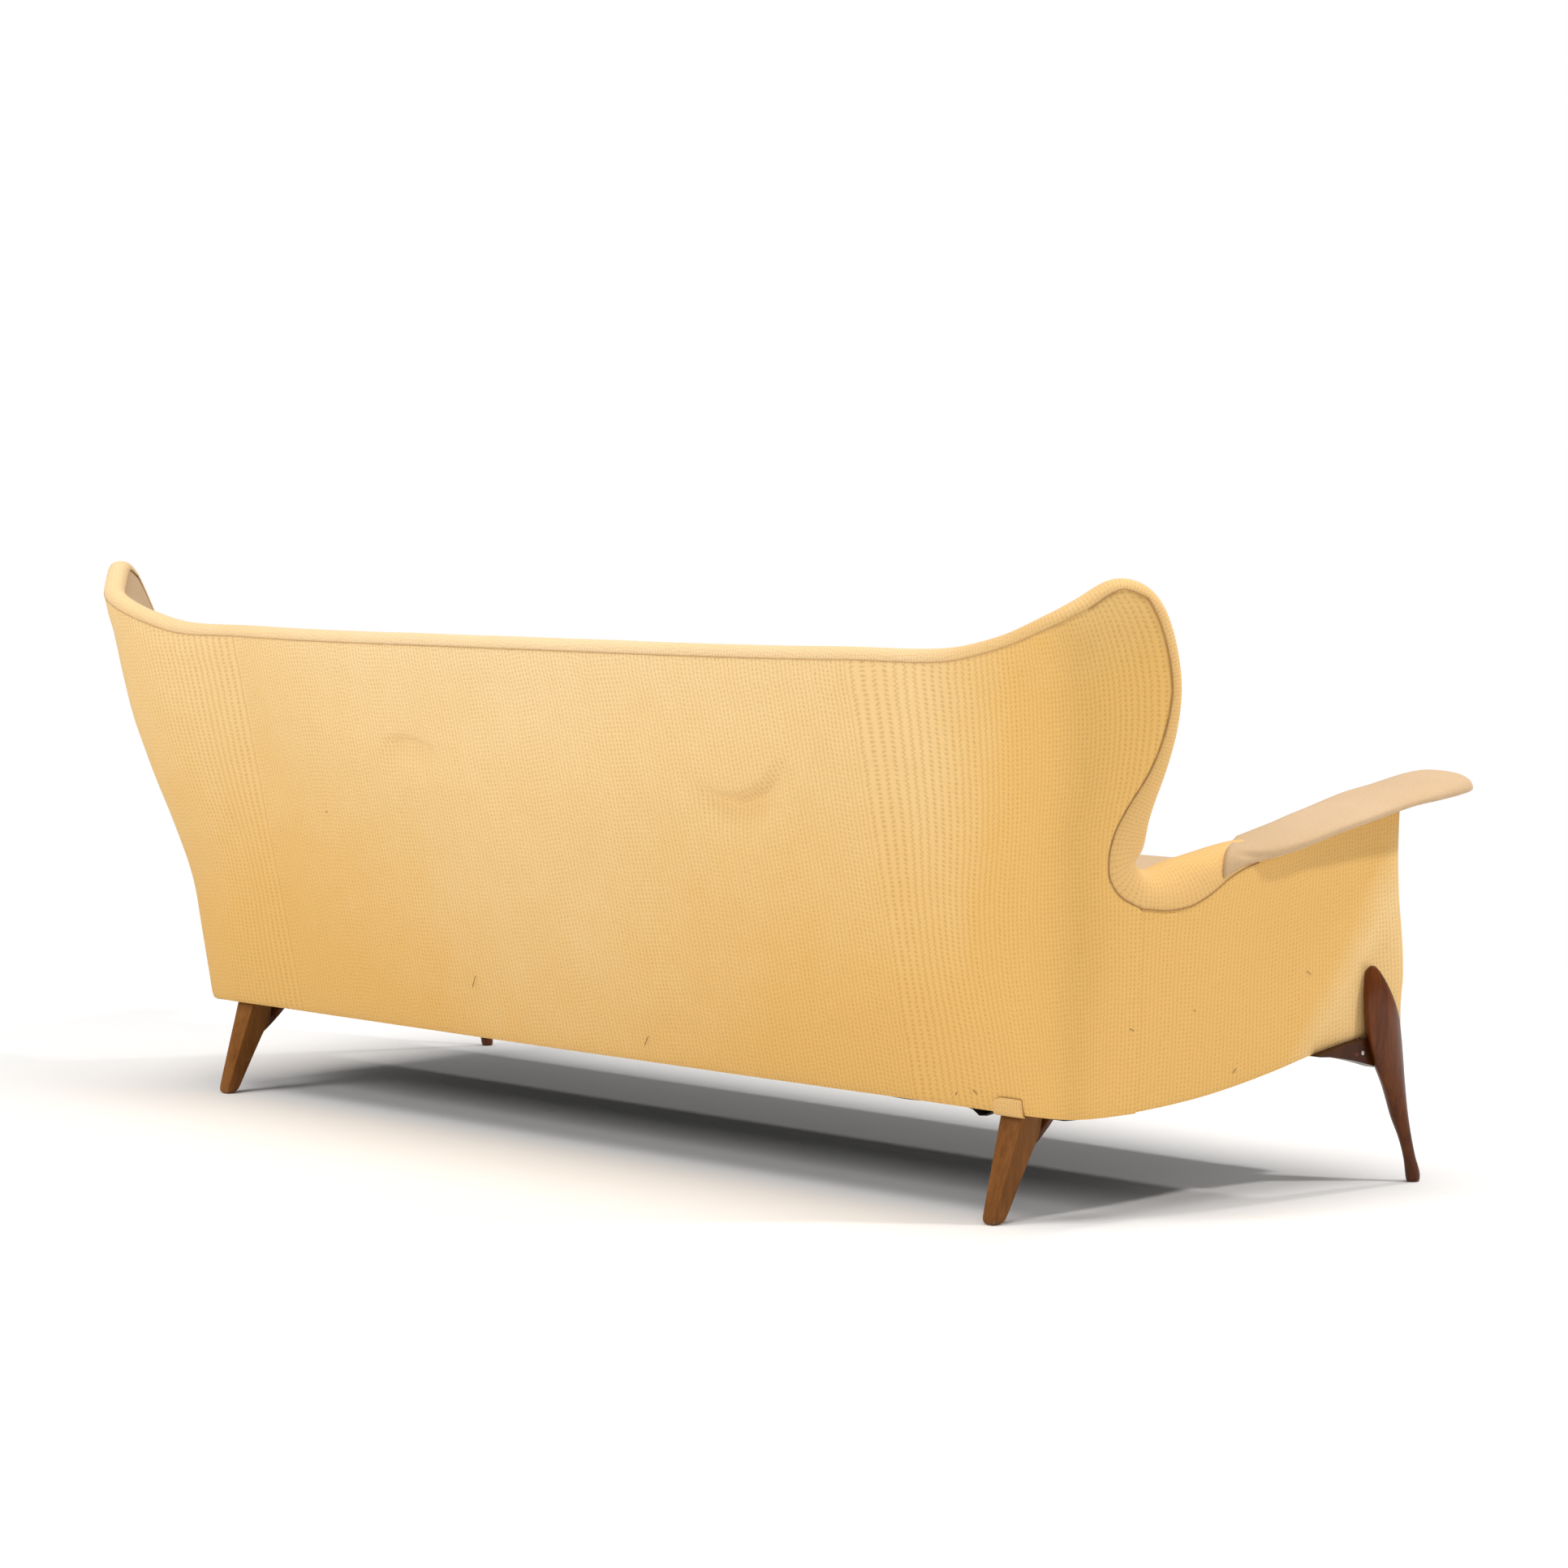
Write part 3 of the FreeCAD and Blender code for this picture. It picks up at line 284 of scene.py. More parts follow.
def to_m(p):
    return (p[0] / 1000, (p[1] + SHIFT) / 1000, p[2] / 1000)


def steps(low, high, count):
    return [low + (high - low) * k / count for k in range(count + 1)]


# Mesh helpers
def shaped(name, verts, faces, material, flat=False):
    """An object from points in millimetres and faces, not yet on a body."""
    mesh = bpy.data.meshes.new(name)
    mesh.from_pydata([to_m(v) for v in verts], [], faces)
    mesh.polygons.foreach_set("use_smooth", [not flat] * len(mesh.polygons))
    mesh.materials.append(material)
    piece = bpy.data.objects.new(name, mesh)
    bpy.context.scene.collection.objects.link(piece)
    return piece


def make(name, verts, faces, material, slot, uvs=None, flat=False):
    """A shaped piece on its body. slot is not used. uvs holds one pair of metres for each point."""
    piece = shaped(name, verts, faces, material, flat)
    if uvs:
        layer_uv = piece.data.uv_layers.new(name="cloth")
        for loop in piece.data.loops:
            layer_uv.data[loop.index].uv = uvs[loop.vertex_index]
    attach(piece, BODY)
    return piece


def grid_faces(columns, rows, closed=False):
    faces = []
    for i in range(columns - 1):
        for j in range(rows if closed else rows - 1):
            k = (j + 1) % rows
            faces.append((i * rows + j, (i + 1) * rows + j, (i + 1) * rows + k, i * rows + k))
    return faces


def run_lengths(points):
    at = [0.0]
    for p, q in zip(points, points[1:]):
        at.append(at[-1] + (q - p).length / 1000)
    return at


def grid_of(columns, rows, point_at):
    """Grid of points with a column for each of columns and the points point_at(column, row) in it."""
    return [[point_at(i, j) for j in rows] for i in columns]


def skin(name, grid, material, slot, thick=2.2, flip=False, uvs=None):
    """A cloth piece through a grid of columns of points. The cloth's thickness lies behind its face."""
    columns, rows = len(grid), len(grid[0])
    if not uvs:
        middle = run_lengths([column[rows // 2] for column in grid])
        uvs = []
        for i, column in enumerate(grid):
            down = run_lengths(column)
            uvs += [(middle[i], down[j]) for j in range(rows)]
    faces = grid_faces(columns, rows)
    if flip:
        faces = [face[::-1] for face in faces]
    piece = make(name, [p for column in grid for p in column], faces, material, slot, uvs)
    solid = piece.modifiers.new("cloth thickness", "SOLIDIFY")
    solid.thickness = thick / 1000
    solid.offset = -1
    shading = piece.modifiers.new("even shading", "WEIGHTED_NORMAL")
    shading.weight = 100
    return piece


def loop_piece(name, rings, mat, slot):
    """A closed piece through rings of points, with a flat face at each end."""
    count = len(rings[0])
    verts = [p for ring in rings for p in ring]
    faces = grid_faces(len(rings), count, closed=True)
    faces.append(tuple(range(count))[::-1])
    faces.append(tuple(range((len(rings) - 1) * count, len(rings) * count)))
    piece = make(name, verts, faces, mat, slot)
    bm = bmesh.new()
    bm.from_mesh(piece.data)
    bmesh.ops.recalc_face_normals(bm, faces=bm.faces)
    bm.to_mesh(piece.data)
    bm.free()
    return piece


# Materials
DASH_PITCH = 0.0065
THREAD_PITCH = 0.0026


class Look:
    """A material under construction, with short ways to add the nodes that the materials here share."""

    def __init__(self, name):
        self.material = bpy.data.materials.new(name)
        self.material.use_nodes = True
        self.nodes = self.material.node_tree.nodes
        self.links = self.material.node_tree.links
        self.shader = self.nodes["Principled BSDF"]

    def join(self, socket, value):
        """Feeds a socket from another node's output, or sets it to a number or a colour."""
        if isinstance(value, (int, float)):
            socket.default_value = value
        elif isinstance(value, tuple):
            socket.default_value = (*value, 1)
        else:
            self.links.new(value, socket)

    def math(self, kind, a, b=None):
        node = self.nodes.new("ShaderNodeMath")
        node.operation = kind
        self.join(node.inputs[0], a)
        if b is not None:
            self.join(node.inputs[1], b)
        return node.outputs[0]

    def times(self, a, b):
        return self.math("MULTIPLY", a, b)

    def plus(self, a, b):
        return self.math("ADD", a, b)

    def place(self):
        return self.nodes.new("ShaderNodeTexCoord").outputs["Object"]

    def parts(self, vector):
        node = self.nodes.new("ShaderNodeSeparateXYZ")
        self.join(node.inputs[0], vector)
        return node.outputs

    def mapped(self, vector, scale):
        node = self.nodes.new("ShaderNodeMapping")
        node.inputs["Scale"].default_value = scale
        self.join(node.inputs["Vector"], vector)
        return node.outputs[0]

    def noise(self, vector, scale, detail=3.0, roughness=0.5):
        node = self.nodes.new("ShaderNodeTexNoise")
        self.join(node.inputs["Vector"], vector)
        for label, value in (("Scale", scale), ("Detail", detail), ("Roughness", roughness)):
            node.inputs[label].default_value = value
        return node.outputs["Fac"]

    def cells(self, vector, scale):
        node = self.nodes.new("ShaderNodeTexVoronoi")
        self.join(node.inputs["Vector"], vector)
        self.join(node.inputs["Scale"], scale)
        return node.outputs

    def span(self, value, ends, kind="LINEAR"):
        """Maps value from the first two of ends to the last two, level beyond them."""
        node = self.nodes.new("ShaderNodeMapRange")
        node.interpolation_type = kind
        self.join(node.inputs["Value"], value)
        for label, end in zip(("From Min", "From Max", "To Min", "To Max"), ends):
            self.join(node.inputs[label], end)
        return node.outputs[0]

    def ramp(self, factor, *stops):
        node = self.nodes.new("ShaderNodeValToRGB")
        for element, (at, colour) in zip(node.color_ramp.elements, stops):
            element.position = at
            element.color = (*colour, 1)
        self.join(node.inputs["Fac"], factor)
        return node.outputs["Color"]

    def mix(self, factor, a, b):
        node = self.nodes.new("ShaderNodeMix")
        node.data_type = "RGBA"
        for place, value in ((0, factor), (6, a), (7, b)):
            self.join(node.inputs[place], value)
        return node.outputs[2]

    def done(self, colour, relief, strength, distance=0.0008, **settings):
        """Gives the shader its colour, its bumps from relief and its own settings."""
        self.join(self.shader.inputs["Base Color"], colour)
        if relief is not None:
            bump = self.nodes.new("ShaderNodeBump")
            for label, value in (("Strength", strength), ("Distance", distance), ("Height", relief)):
                self.join(bump.inputs[label], value)
            self.join(self.shader.inputs["Normal"], bump.outputs[0])
        for label, value in settings.items():
            self.shader.inputs[label.replace("_", " ")].default_value = value
        return self.material


def ribbed_wool(name, pale, full, deep, rib=7.5, cross=0.35):
    """Woollen rep: upright ribs of uneven yarn with short dark dashes between them and a few pills.

    It is paler towards the top and the middle, and darker on the right side beyond x = -0.82 m: painted shade
    where the right wing and arm get less light. In front of a line that slants down and back, over the fronts
    of the arms,
    it is paler still: painted light from a lamp in front. rib is the pitch of the ribs in millimetres and
    cross the strength of the threads across them."""
    look = Look(name)
    times, plus, noise_at = look.times, look.plus, look.noise
    uv_map = look.nodes.new("ShaderNodeUVMap")
    uv_map.uv_map = "cloth"
    uv = uv_map.outputs[0]
    across, along = look.parts(uv)[:2]
    turn = 2 * math.pi
    wander = plus(times(noise_at(uv, 45.0, 2.0), 0.0022), times(noise_at(uv, 330.0, 2.0), 0.0013))
    turns = times(plus(across, wander), 1000 / rib)
    groove = plus(times(look.math("SINE", times(turns, turn)), -0.5), 0.5)
    own = look.nodes.new("ShaderNodeTexWhiteNoise")
    own.noise_dimensions = "1D"
    look.join(own.inputs["W"], look.math("FLOOR", plus(turns, 0.25)))
    phase = plus(times(along, turn / DASH_PITCH), times(own.outputs["Value"], 19.0))
    phase = plus(phase, times(noise_at(uv, 210.0, 1.0), 5.0))
    dashes = plus(times(look.math("SINE", phase), 0.5), 0.5)
    threads = look.math("SINE", times(plus(along, times(wander, 0.6)), turn / THREAD_PITCH))
    relief = plus(times(groove, -0.55), times(threads, 0.16 * cross))
    relief = plus(relief, times(noise_at(uv, 900.0, 2.0), 0.30))

    place = look.place()
    x, y, z = look.parts(place)
    # The factor for the ramp below: paler towards the top, with broad random clouds and small mottles.
    amount = plus(times(z, 1.30), times(noise_at(place, 2.1, 4.0, 0.6), 0.55))
    amount = plus(plus(amount, times(noise_at(place, 17.0, 4.0, 0.65), 0.22)), -0.78)
    # Its three terms: darker on the right side beyond x = -0.82 m, painted shade where the right wing and arm
    # get less light; paler in front of a line that slants down and back, painted light from a lamp in front
    # over the fronts of the arms; paler in the middle.
    for value, ends in ((x, (-1.0, -0.82, -0.6, 0.0)), (plus(y, times(z, 0.82)), (0.0, 0.13, 1.05, 0.0)),
                        (look.math("ABSOLUTE", x), (0.10, 0.75, 0.30, 0.0))):
        amount = plus(amount, look.span(value, ends))
    colour = look.ramp(amount, (0.0, full), (1.0, pale))
    colour = look.mix(times(times(times(groove, groove), dashes), 0.46), colour, deep)
    colour = look.mix(times(plus(times(threads, 0.5), 0.5), 0.22 * cross), colour, deep)
    streak = noise_at(look.mapped(uv, (340.0, 60.0, 1.0)), 1.0, 3.0, 0.65)
    colour = look.mix(times(streak, 0.14), colour, deep)
    dark_yarn = look.math("GREATER_THAN", noise_at(uv, 520.0, 3.0, 0.7), 0.66)
    colour = look.mix(times(dark_yarn, 0.20), colour, deep)
    pills = look.cells(place, 9.0)
    near = look.math("LESS_THAN", pills["Distance"], 0.022)
    few = look.math("GREATER_THAN", look.parts(pills["Color"])[0], 0.72)
    colour = look.mix(times(times(near, few), 0.75), colour, (0.20, 0.10, 0.03))
    return look.done(colour, relief, 0.40, Roughness=0.92, Sheen_Weight=0.10, Sheen_Roughness=0.5,
                     Specular_IOR_Level=0.12)


def plain_wool(name, light, dark, deep):
    """Plain woollen cloth whose weave follows the object's own space, so that it needs no UVs."""
    look = Look(name)
    place = look.place()
    weave = look.cells(place, 420.0)[0]
    relief = look.math("SUBTRACT", look.noise(place, 700.0, 3.0, 0.6), look.times(weave, 0.6))
    colour = look.ramp(look.noise(place, 3.1, 4.0, 0.6), (0.32, dark), (0.68, light))
    colour = look.mix(look.times(weave, 0.35), colour, deep)
    return look.done(colour, relief, 0.35, Roughness=0.92, Sheen_Weight=0.12, Sheen_Roughness=0.5,
                     Specular_IOR_Level=0.15)


def wood(name, light, dark, stretch, gloss, wear=None):
    """Wood with its grain along the piece; gloss is the strength of its polish. wear is the colour that shows
    where the arrises are rubbed."""
    look = Look(name)
    times, place = look.times, look.place()
    grained = look.mapped(place, stretch)
    pores = look.noise(grained, 260.0, 3.0, 0.7)
    grain = look.plus(times(look.noise(grained, 22.0, 5.0, 0.6), 0.72), times(pores, 0.28))
    colour = look.ramp(grain, (0.36, dark), (0.64, light))
    if wear:
        pointed = look.nodes.new("ShaderNodeNewGeometry").outputs["Pointiness"]
        edge = times(look.math("SUBTRACT", pointed, 0.535), 16.0)
        edge = times(edge, times(look.noise(place, 85.0, 4.0, 0.7), 1.7))
        limit = look.nodes.new("ShaderNodeClamp")
        look.join(limit.inputs[0], edge)
        colour = look.mix(times(limit.outputs[0], 0.7), colour, wear)
        scratch = look.noise(look.mapped(place, (22.0, 22.0, 260.0)), 1.0, 2.0, 0.6)
        colour = look.mix(times(look.math("GREATER_THAN", scratch, 0.745), 0.35), colour, wear)
    rough = 0.45 if wear else (0.35 if gloss else 0.7)
    return look.done(colour, pores, 0.14, 0.0006, Roughness=rough, Specular_IOR_Level=0.10 if gloss else 0.4,
                     Coat_Weight=gloss, Coat_Roughness=0.06)


def plain_cloth(name, light, dark, scale):
    look = Look(name)
    weave = look.noise(look.place(), scale, 3.0, 0.7)
    return look.done(look.ramp(weave, (0.35, dark), (0.65, light)), weave, 0.4, Roughness=0.95)


def steel(name):
    look = Look(name)
    wear = look.noise(look.place(), 400.0, 3.0)
    colour = look.ramp(wear, (0.3, (0.42, 0.40, 0.36)), (0.7, (0.66, 0.63, 0.58)))
    return look.done(colour, None, 0.0, Metallic=1.0, Roughness=0.42)


RIBBED = ribbed_wool("ribbed wool", (0.90, 0.69, 0.38), (0.80, 0.49, 0.155), (0.42, 0.21, 0.045))
BORDER = ribbed_wool("border wool", (0.87, 0.67, 0.41), (0.79, 0.50, 0.19), (0.44, 0.25, 0.085), 5.5, 1.0)
PLAIN = plain_wool("plain wool", (0.60, 0.43, 0.27), (0.545, 0.375, 0.212), (0.37, 0.235, 0.115))
# SEAM is the darker copy of the seam thread: on the right wing its darkness is painted shade of the seam's
# groove on the shaded right side. PALE_SEAM is the same thread, paler, along the top and the left wing.
SEAM = plain_wool("seam thread", (0.50, 0.30, 0.12), (0.36, 0.20, 0.075), (0.20, 0.11, 0.04))
PALE_SEAM = plain_wool("pale seam thread", (0.68, 0.46, 0.22), (0.56, 0.35, 0.14), (0.36, 0.21, 0.08))
MAHOGANY = wood("polished mahogany", (0.175, 0.044, 0.005), (0.050, 0.012, 0.002), (1.0, 1.0, 0.10), 0.28)
FIN = wood("dark mahogany", (0.060, 0.016, 0.004), (0.022, 0.006, 0.002), (0.10, 1.0, 1.0), 0.05)
WORN = wood("worn mahogany", (0.280, 0.112, 0.026), (0.130, 0.045, 0.009), (1.0, 1.0, 0.10), 0.04,
            (0.50, 0.36, 0.24))
BEECH = wood("beech", (0.60, 0.42, 0.25), (0.46, 0.30, 0.17), (0.10, 1.0, 1.0), 0.0)
WEBBING = plain_cloth("jute webbing", (0.52, 0.40, 0.24), (0.30, 0.22, 0.12), 420.0)
HESSIAN = plain_cloth("hessian", (0.50, 0.38, 0.22), (0.28, 0.20, 0.11), 600.0)
SNAG = plain_cloth("dark lint", (0.16, 0.09, 0.04), (0.07, 0.035, 0.015), 900.0)
HOLE = wood("bare hole", (0.16, 0.035, 0.018), (0.05, 0.012, 0.008), (1.0, 1.0, 1.0), 0.0)
BLACK = plain_cloth("black lining", (0.030, 0.029, 0.030), (0.014, 0.014, 0.015), 700.0)
STEEL = steel("dull steel")
NODE_MATERIALS = {"beech": BEECH, "jute_webbing": WEBBING, "hessian": HESSIAN, "steel": STEEL,
                  "polished_mahogany": MAHOGANY, "ribbed_wool": RIBBED, "plain_wool": PLAIN,
                  "black_cloth": BLACK}
for part in frame["record"]["subparts"]:
    chosen = FIN if part["node"] == "front_leg_brackets" else NODE_MATERIALS.get(part["material_slot"])
    node_object = frame["nodes"][part["node"]]
    if chosen:
        for material_slot in node_object.material_slots:
            material_slot.material = chosen


def dents(x, z):
    """Depth of the dents in the outside back. Each has a fold along an arc, steep on its upper side."""
    found = 0.0
    for x0, z0, half, bend, tilt, deep, steep, soft in [
            (282, 617, 58, -13, 0.02, 11.0, 11, 30), (-455, 562, 84, 30, -0.20, 15.0, 14, 36)]:
        a = (x - x0) / half
        arc = z0 + bend * a * a + tilt * (x - x0)
        below = arc - z
        fall = ease((below + steep) / steep) if below < 0 else math.exp(-(below / soft)**2)
        found += deep * fall * math.exp(-a**4)
    found += 3.0 * math.exp(-((x + 40) / 260)**2 - ((z - 690) / 60)**2)
    return found


def creases(x, z):
    """Faint lines where the cloth is drawn towards the legs and the corner."""
    found = 0.0
    for x0, z0, x1, z1, wide, deep in [(-210, 262, -330, 252, 7, 1.6), (-640, 250, -760, 215, 9, 1.2),
                                       (-150, 210, -300, 196, 8, 1.0), (560, 330, 640, 240, 16, 1.2)]:
        dx, dz = x1 - x0, z1 - z0
        along = min(max(((x - x0) * dx + (z - z0) * dz) / (dx * dx + dz * dz), 0), 1)
        off = math.hypot(x - x0 - along * dx, z - z0 - along * dz)
        found += deep * math.exp(-(off / wide)**2) * math.sin(math.pi * min(max(along, 0.02), 0.98))
    return found


def ripple(p, scale, size):
    """A smooth random height of about size millimetres for a point in millimetres."""
    return size * noise.noise(Vector(p) / scale)


# Outside back: one panel from wing edge to wing edge
ROWS = 110
RISES = [rise**0.93 for rise in steps(0.0, 1.0, ROWS)]


def back_shares():
    """Shares of the half section, closer together towards the wing's edge."""
    half = [FLAT_SHARE * k / 60 for k in range(60)]
    half += [FLAT_SHARE + (1 - FLAT_SHARE) * (1 - (1 - k / 90)**1.15) for k in range(91)]
    return [-u for u in reversed(half[1:])] + half


def outside_back():
    uvs = []

    def face(u, rise):
        z = body_bottom + rise * (top_seam(u) - body_bottom)
        s = u * seam_reach(z)
        to_top, to_side, to_bottom = top_seam(u) - z, (1 - abs(u)) * 1250, z - body_bottom
        corner = ease((z - arm_seam_height + 20) / 25)
        turn_in = 1.3 * math.exp(-to_top / 5) + (0.1 + 1.9 * corner) * math.exp(-to_side / 5)
        turn_in += 1.8 * math.exp(-to_bottom / 4)
        point = layer(s, z, 0)
        amount = min(ease(to_top / 60), ease(to_side / 80))
        depth = turn_in + dents(point.x, z) + creases(point.x, z) + ripple(point, 170.0, 1.6) * amount
        depth += ripple(point, 46.0, 0.35) * amount - 2.0 * math.exp(-((to_top - 26) / 16)**2) * amount
        uvs.append((1.08 * s, z / 1000))
        return layer(s, z, depth)

    grid = grid_of(back_shares(), RISES, face)
    piece = skin("outside_back", grid, RIBBED, "ribbed_wool", flip=True, uvs=uvs)
    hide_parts("outside_back_cover")


# Border band: one strip over the stuffed edge, from arm to arm
def edge_path():
    """Places on the seam from the right arm over the top to the left arm: (share, height)."""
    side = []
    for rise in RISES:
        z = body_bottom + rise * (top_seam(1) - body_bottom)
        if z > arm_seam_height + 3:
            side.append((seam_reach(z), z))
    arm = [(1 + a, arm_top(a)) for a in steps(0.0, 0.36, 26) + steps(0.38, 0.9975, 26)]
    left = [(u * seam_reach(top_seam(u)), top_seam(u)) for u in back_shares() if u >= 0]
    left += side[::-1][1:] + arm
    right = [(-s, z) for s, z in left[1:]]
    return right[::-1] + left


def border_band():
    """The band with its threads. Its columns are eased along the edge, so that it has no kinks."""
    path = edge_path()
    points = [layer(s, z, 0) for s, z in path]
    at = run_lengths(points)
    turns, rounds = 24, 14
    near = 0.014
    under_rest = 1.40
    columns = []
    for n, (s, z) in enumerate(path):
        low, high = n, n
        while low > 0 and at[n] - at[low] < near:
            low -= 1
        while high < len(path) - 1 and at[high] - at[n] < near:
            high += 1
        along = (points[high] - points[low]).normalized()
        into = inward(s, z)
        beyond = into.cross(along).normalized()
        half, reach = smooth(EDGE_ROLL, level_of(z))
        a = abs(s) - 1
        if a >= 0:
            half, reach = arm_wall / 2, smooth(ARM_ROLL, a)[0]
        side = -1 if s < 0 else 1
        column = []
        for k in range(turns + 1):
            phi = math.pi * k / turns
            sunk = 1.3 * math.exp(-k) + 0.8 * math.exp(-(turns - k) / 1.2)
            out = reach * math.sin(phi)**0.85 - sunk * 0.3
            point = points[n] + into * (half * (1 - math.cos(phi)) + 1.3 * math.exp(-k / 1.2)) + beyond * out
            bump = ripple((side * point.x, point.y, point.z), 52.0, 1.3) * math.sin(phi)
            column.append(point + beyond * bump)
        columns.append(column)
    for _ in range(rounds):
        eased = [list(column) for column in columns]
        for n in range(1, len(columns) - 1):
            for k in range(1, turns):
                weight = 0.5 * math.sin(math.pi * k / turns)**0.5
                eased[n][k] = columns[n][k].lerp((columns[n - 1][k] + columns[n + 1][k]) / 2, weight)
        columns = eased
    piece = skin("border_band", columns, BORDER, "plain_wool", flip=True)
    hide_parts("top_border_band", "wing_border_band_left", "wing_border_band_right", "top_edge_roll",
                "wing_edge_rolls")
    kept = [n for n, (s, z) in enumerate(path) if abs(s) < under_rest]
    seam = [points[n] + inward(*path[n]) * 0.5 for n in kept]
    top = [p for n, p in zip(kept, seam) if abs(path[n][0]) < 0.93]
    thread("top_seam", top, 0.42, PALE_SEAM)
    # The right wing's seam takes the darker thread: painted shade.
    thread("right_wing_seam", [p for n, p in zip(kept, seam) if path[n][0] < -0.925], 0.6)
    thread("left_wing_seam", [p for n, p in zip(kept, seam) if path[n][0] > 0.925], 0.55, PALE_SEAM)
    inner = [columns[n][-1] + inward(*path[n]) * 0.6 for n in kept]
    thread("inside_seam", inner, 0.5, PLAIN)


def thread(name, points, radius, mat=SEAM, slot="plain_wool"):
    """Seam thread through points, slightly uneven."""
    rings = []
    for n, p in enumerate(points):
        before, after = points[max(n - 1, 0)], points[min(n + 1, len(points) - 1)]
        along = (after - before).normalized()
        a = along.orthogonal().normalized() if n == 0 else (a - along * a.dot(along)).normalized()
        b = along.cross(a)
        r = radius * (1 + 0.35 * noise.noise(p / 9.0))
        turns = [k * math.pi / 3 for k in range(6)]
        rings.append([p + (a * math.cos(turn) + b * math.sin(turn)) * r for turn in turns])
    return loop_piece(name, rings, mat, slot)


# Arms: outside panels, inside panels and front facings
def panel_edge(i, j):
    """Turn-in along the four edges of a panel, for shares i and j of its width and height."""
    return sum(math.exp(-d / 0.02) for d in (i, 1 - i, j, 1 - j))


def arms():
    setback = 1.4
    for side, name in LEFT_AND_RIGHT:
        def outside(i, j):
            a = i * 0.9995 - 0.001
            z = arm_bottom(a) + j * (arm_top(a) - arm_bottom(a))
            rear, front, low, high = i * 560, (1 - i) * 560, j * 250, (1 - j) * 250
            depth = 0.1 * math.exp(-rear / 6) + 0.7 * math.exp(-front / 5) + 1.2 * math.exp(-low / 4)
            depth += 2.0 * math.exp(-high / 4)
            waves = ripple((a * 600, 90, z), 130.0, 1.6) + ripple((a * 600, 40, z), 42.0, 0.4)
            depth += waves * ease(i * 6)
            dip = math.exp(-((a - 0.90) / 0.05)**2 - ((z - 335) / 26)**2)
            point = layer(side * (1 + a), z, depth + 4.0 * dip)
            point.y += smooth(FRONT_EDGE, z)[0] * ease((i - 0.8) / 0.2)
            return point

        def inside(i, j):
            a = i * 0.9985
            z = wall_foot + j * (arm_top(a) - wall_foot)
            return layer(side * (1 + a), z, arm_wall - panel_edge(i, j) - 1.0)

        def facing(i, j):
            z = arm_bottom(1) + j * (arm_top(1) - arm_bottom(1))
            crown = 8.0 * (math.sin(math.pi * i) * math.sin(math.pi * min(max(j, 0.02), 0.98)))**0.5
            point = layer(side * 1.9985, z, setback + i * (arm_wall - setback))
            point.y += smooth(FRONT_EDGE, z)[0]
            return point - Vector((0, crown, 0))

        grid = grid_of(steps(0.0, 1.0, 70), steps(0.0, 1.0, 44), outside)
        piece = skin("outside_arm_" + name, grid, RIBBED, "ribbed_wool", flip=side > 0)
        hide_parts("outside_arm_cover_" + name)
        grid = grid_of(steps(0.0, 1.0, 60), steps(0.0, 1.0, 30), inside)
        piece = skin("inside_arm_" + name, grid, PLAIN, "plain_wool", flip=side < 0)
        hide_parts("inside_arm_cover_" + name)
        grid = grid_of(steps(0.0, 1.0, 16), steps(0.0, 1.0, 50), facing)
        piece = skin("arm_front_" + name, grid, PLAIN, "plain_wool", flip=side > 0)
        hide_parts("arm_front_cover_" + name)
    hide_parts("arm_pads", "arm_front_pads")


# Inside back with its wings
def inside_back():
    def face(u, j):
        z = wall_foot + j * (top_seam(u) - wall_foot)
        s = u * seam_reach(z)
        seam = 2.2 * math.exp(-abs(abs(u) - 0.70) / 0.004)
        edge = 2.2 * math.exp(-(1 - j) / 0.02)
        wave = ripple(layer(s, z, 0), 140.0, 1.6) * ease((1 - j) * 6)
        return layer(s, z, thickness(u, z) - seam - edge + wave)

    grid = grid_of(steps(-0.999, 0.999, 220), steps(0.0, 1.0, 80), face)
    piece = skin("inside_back", grid, PLAIN, "plain_wool")
    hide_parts("inside_back_cover", "inside_wing_cover_left", "inside_wing_cover_right", "back_pad",
                "wing_pads")


# Arm rests
def rest_line(y):
    """Underside of an arm rest at y."""
    front = arm_front(arm_top(1))[1]
    if y < front:
        share = 1 + (front - y) / 600
    else:
        share = max(share_at(y, lambda s: arm_top(max(s - 1, 0))) - 1, 0.0)
    return arm_top(share) + 0.5


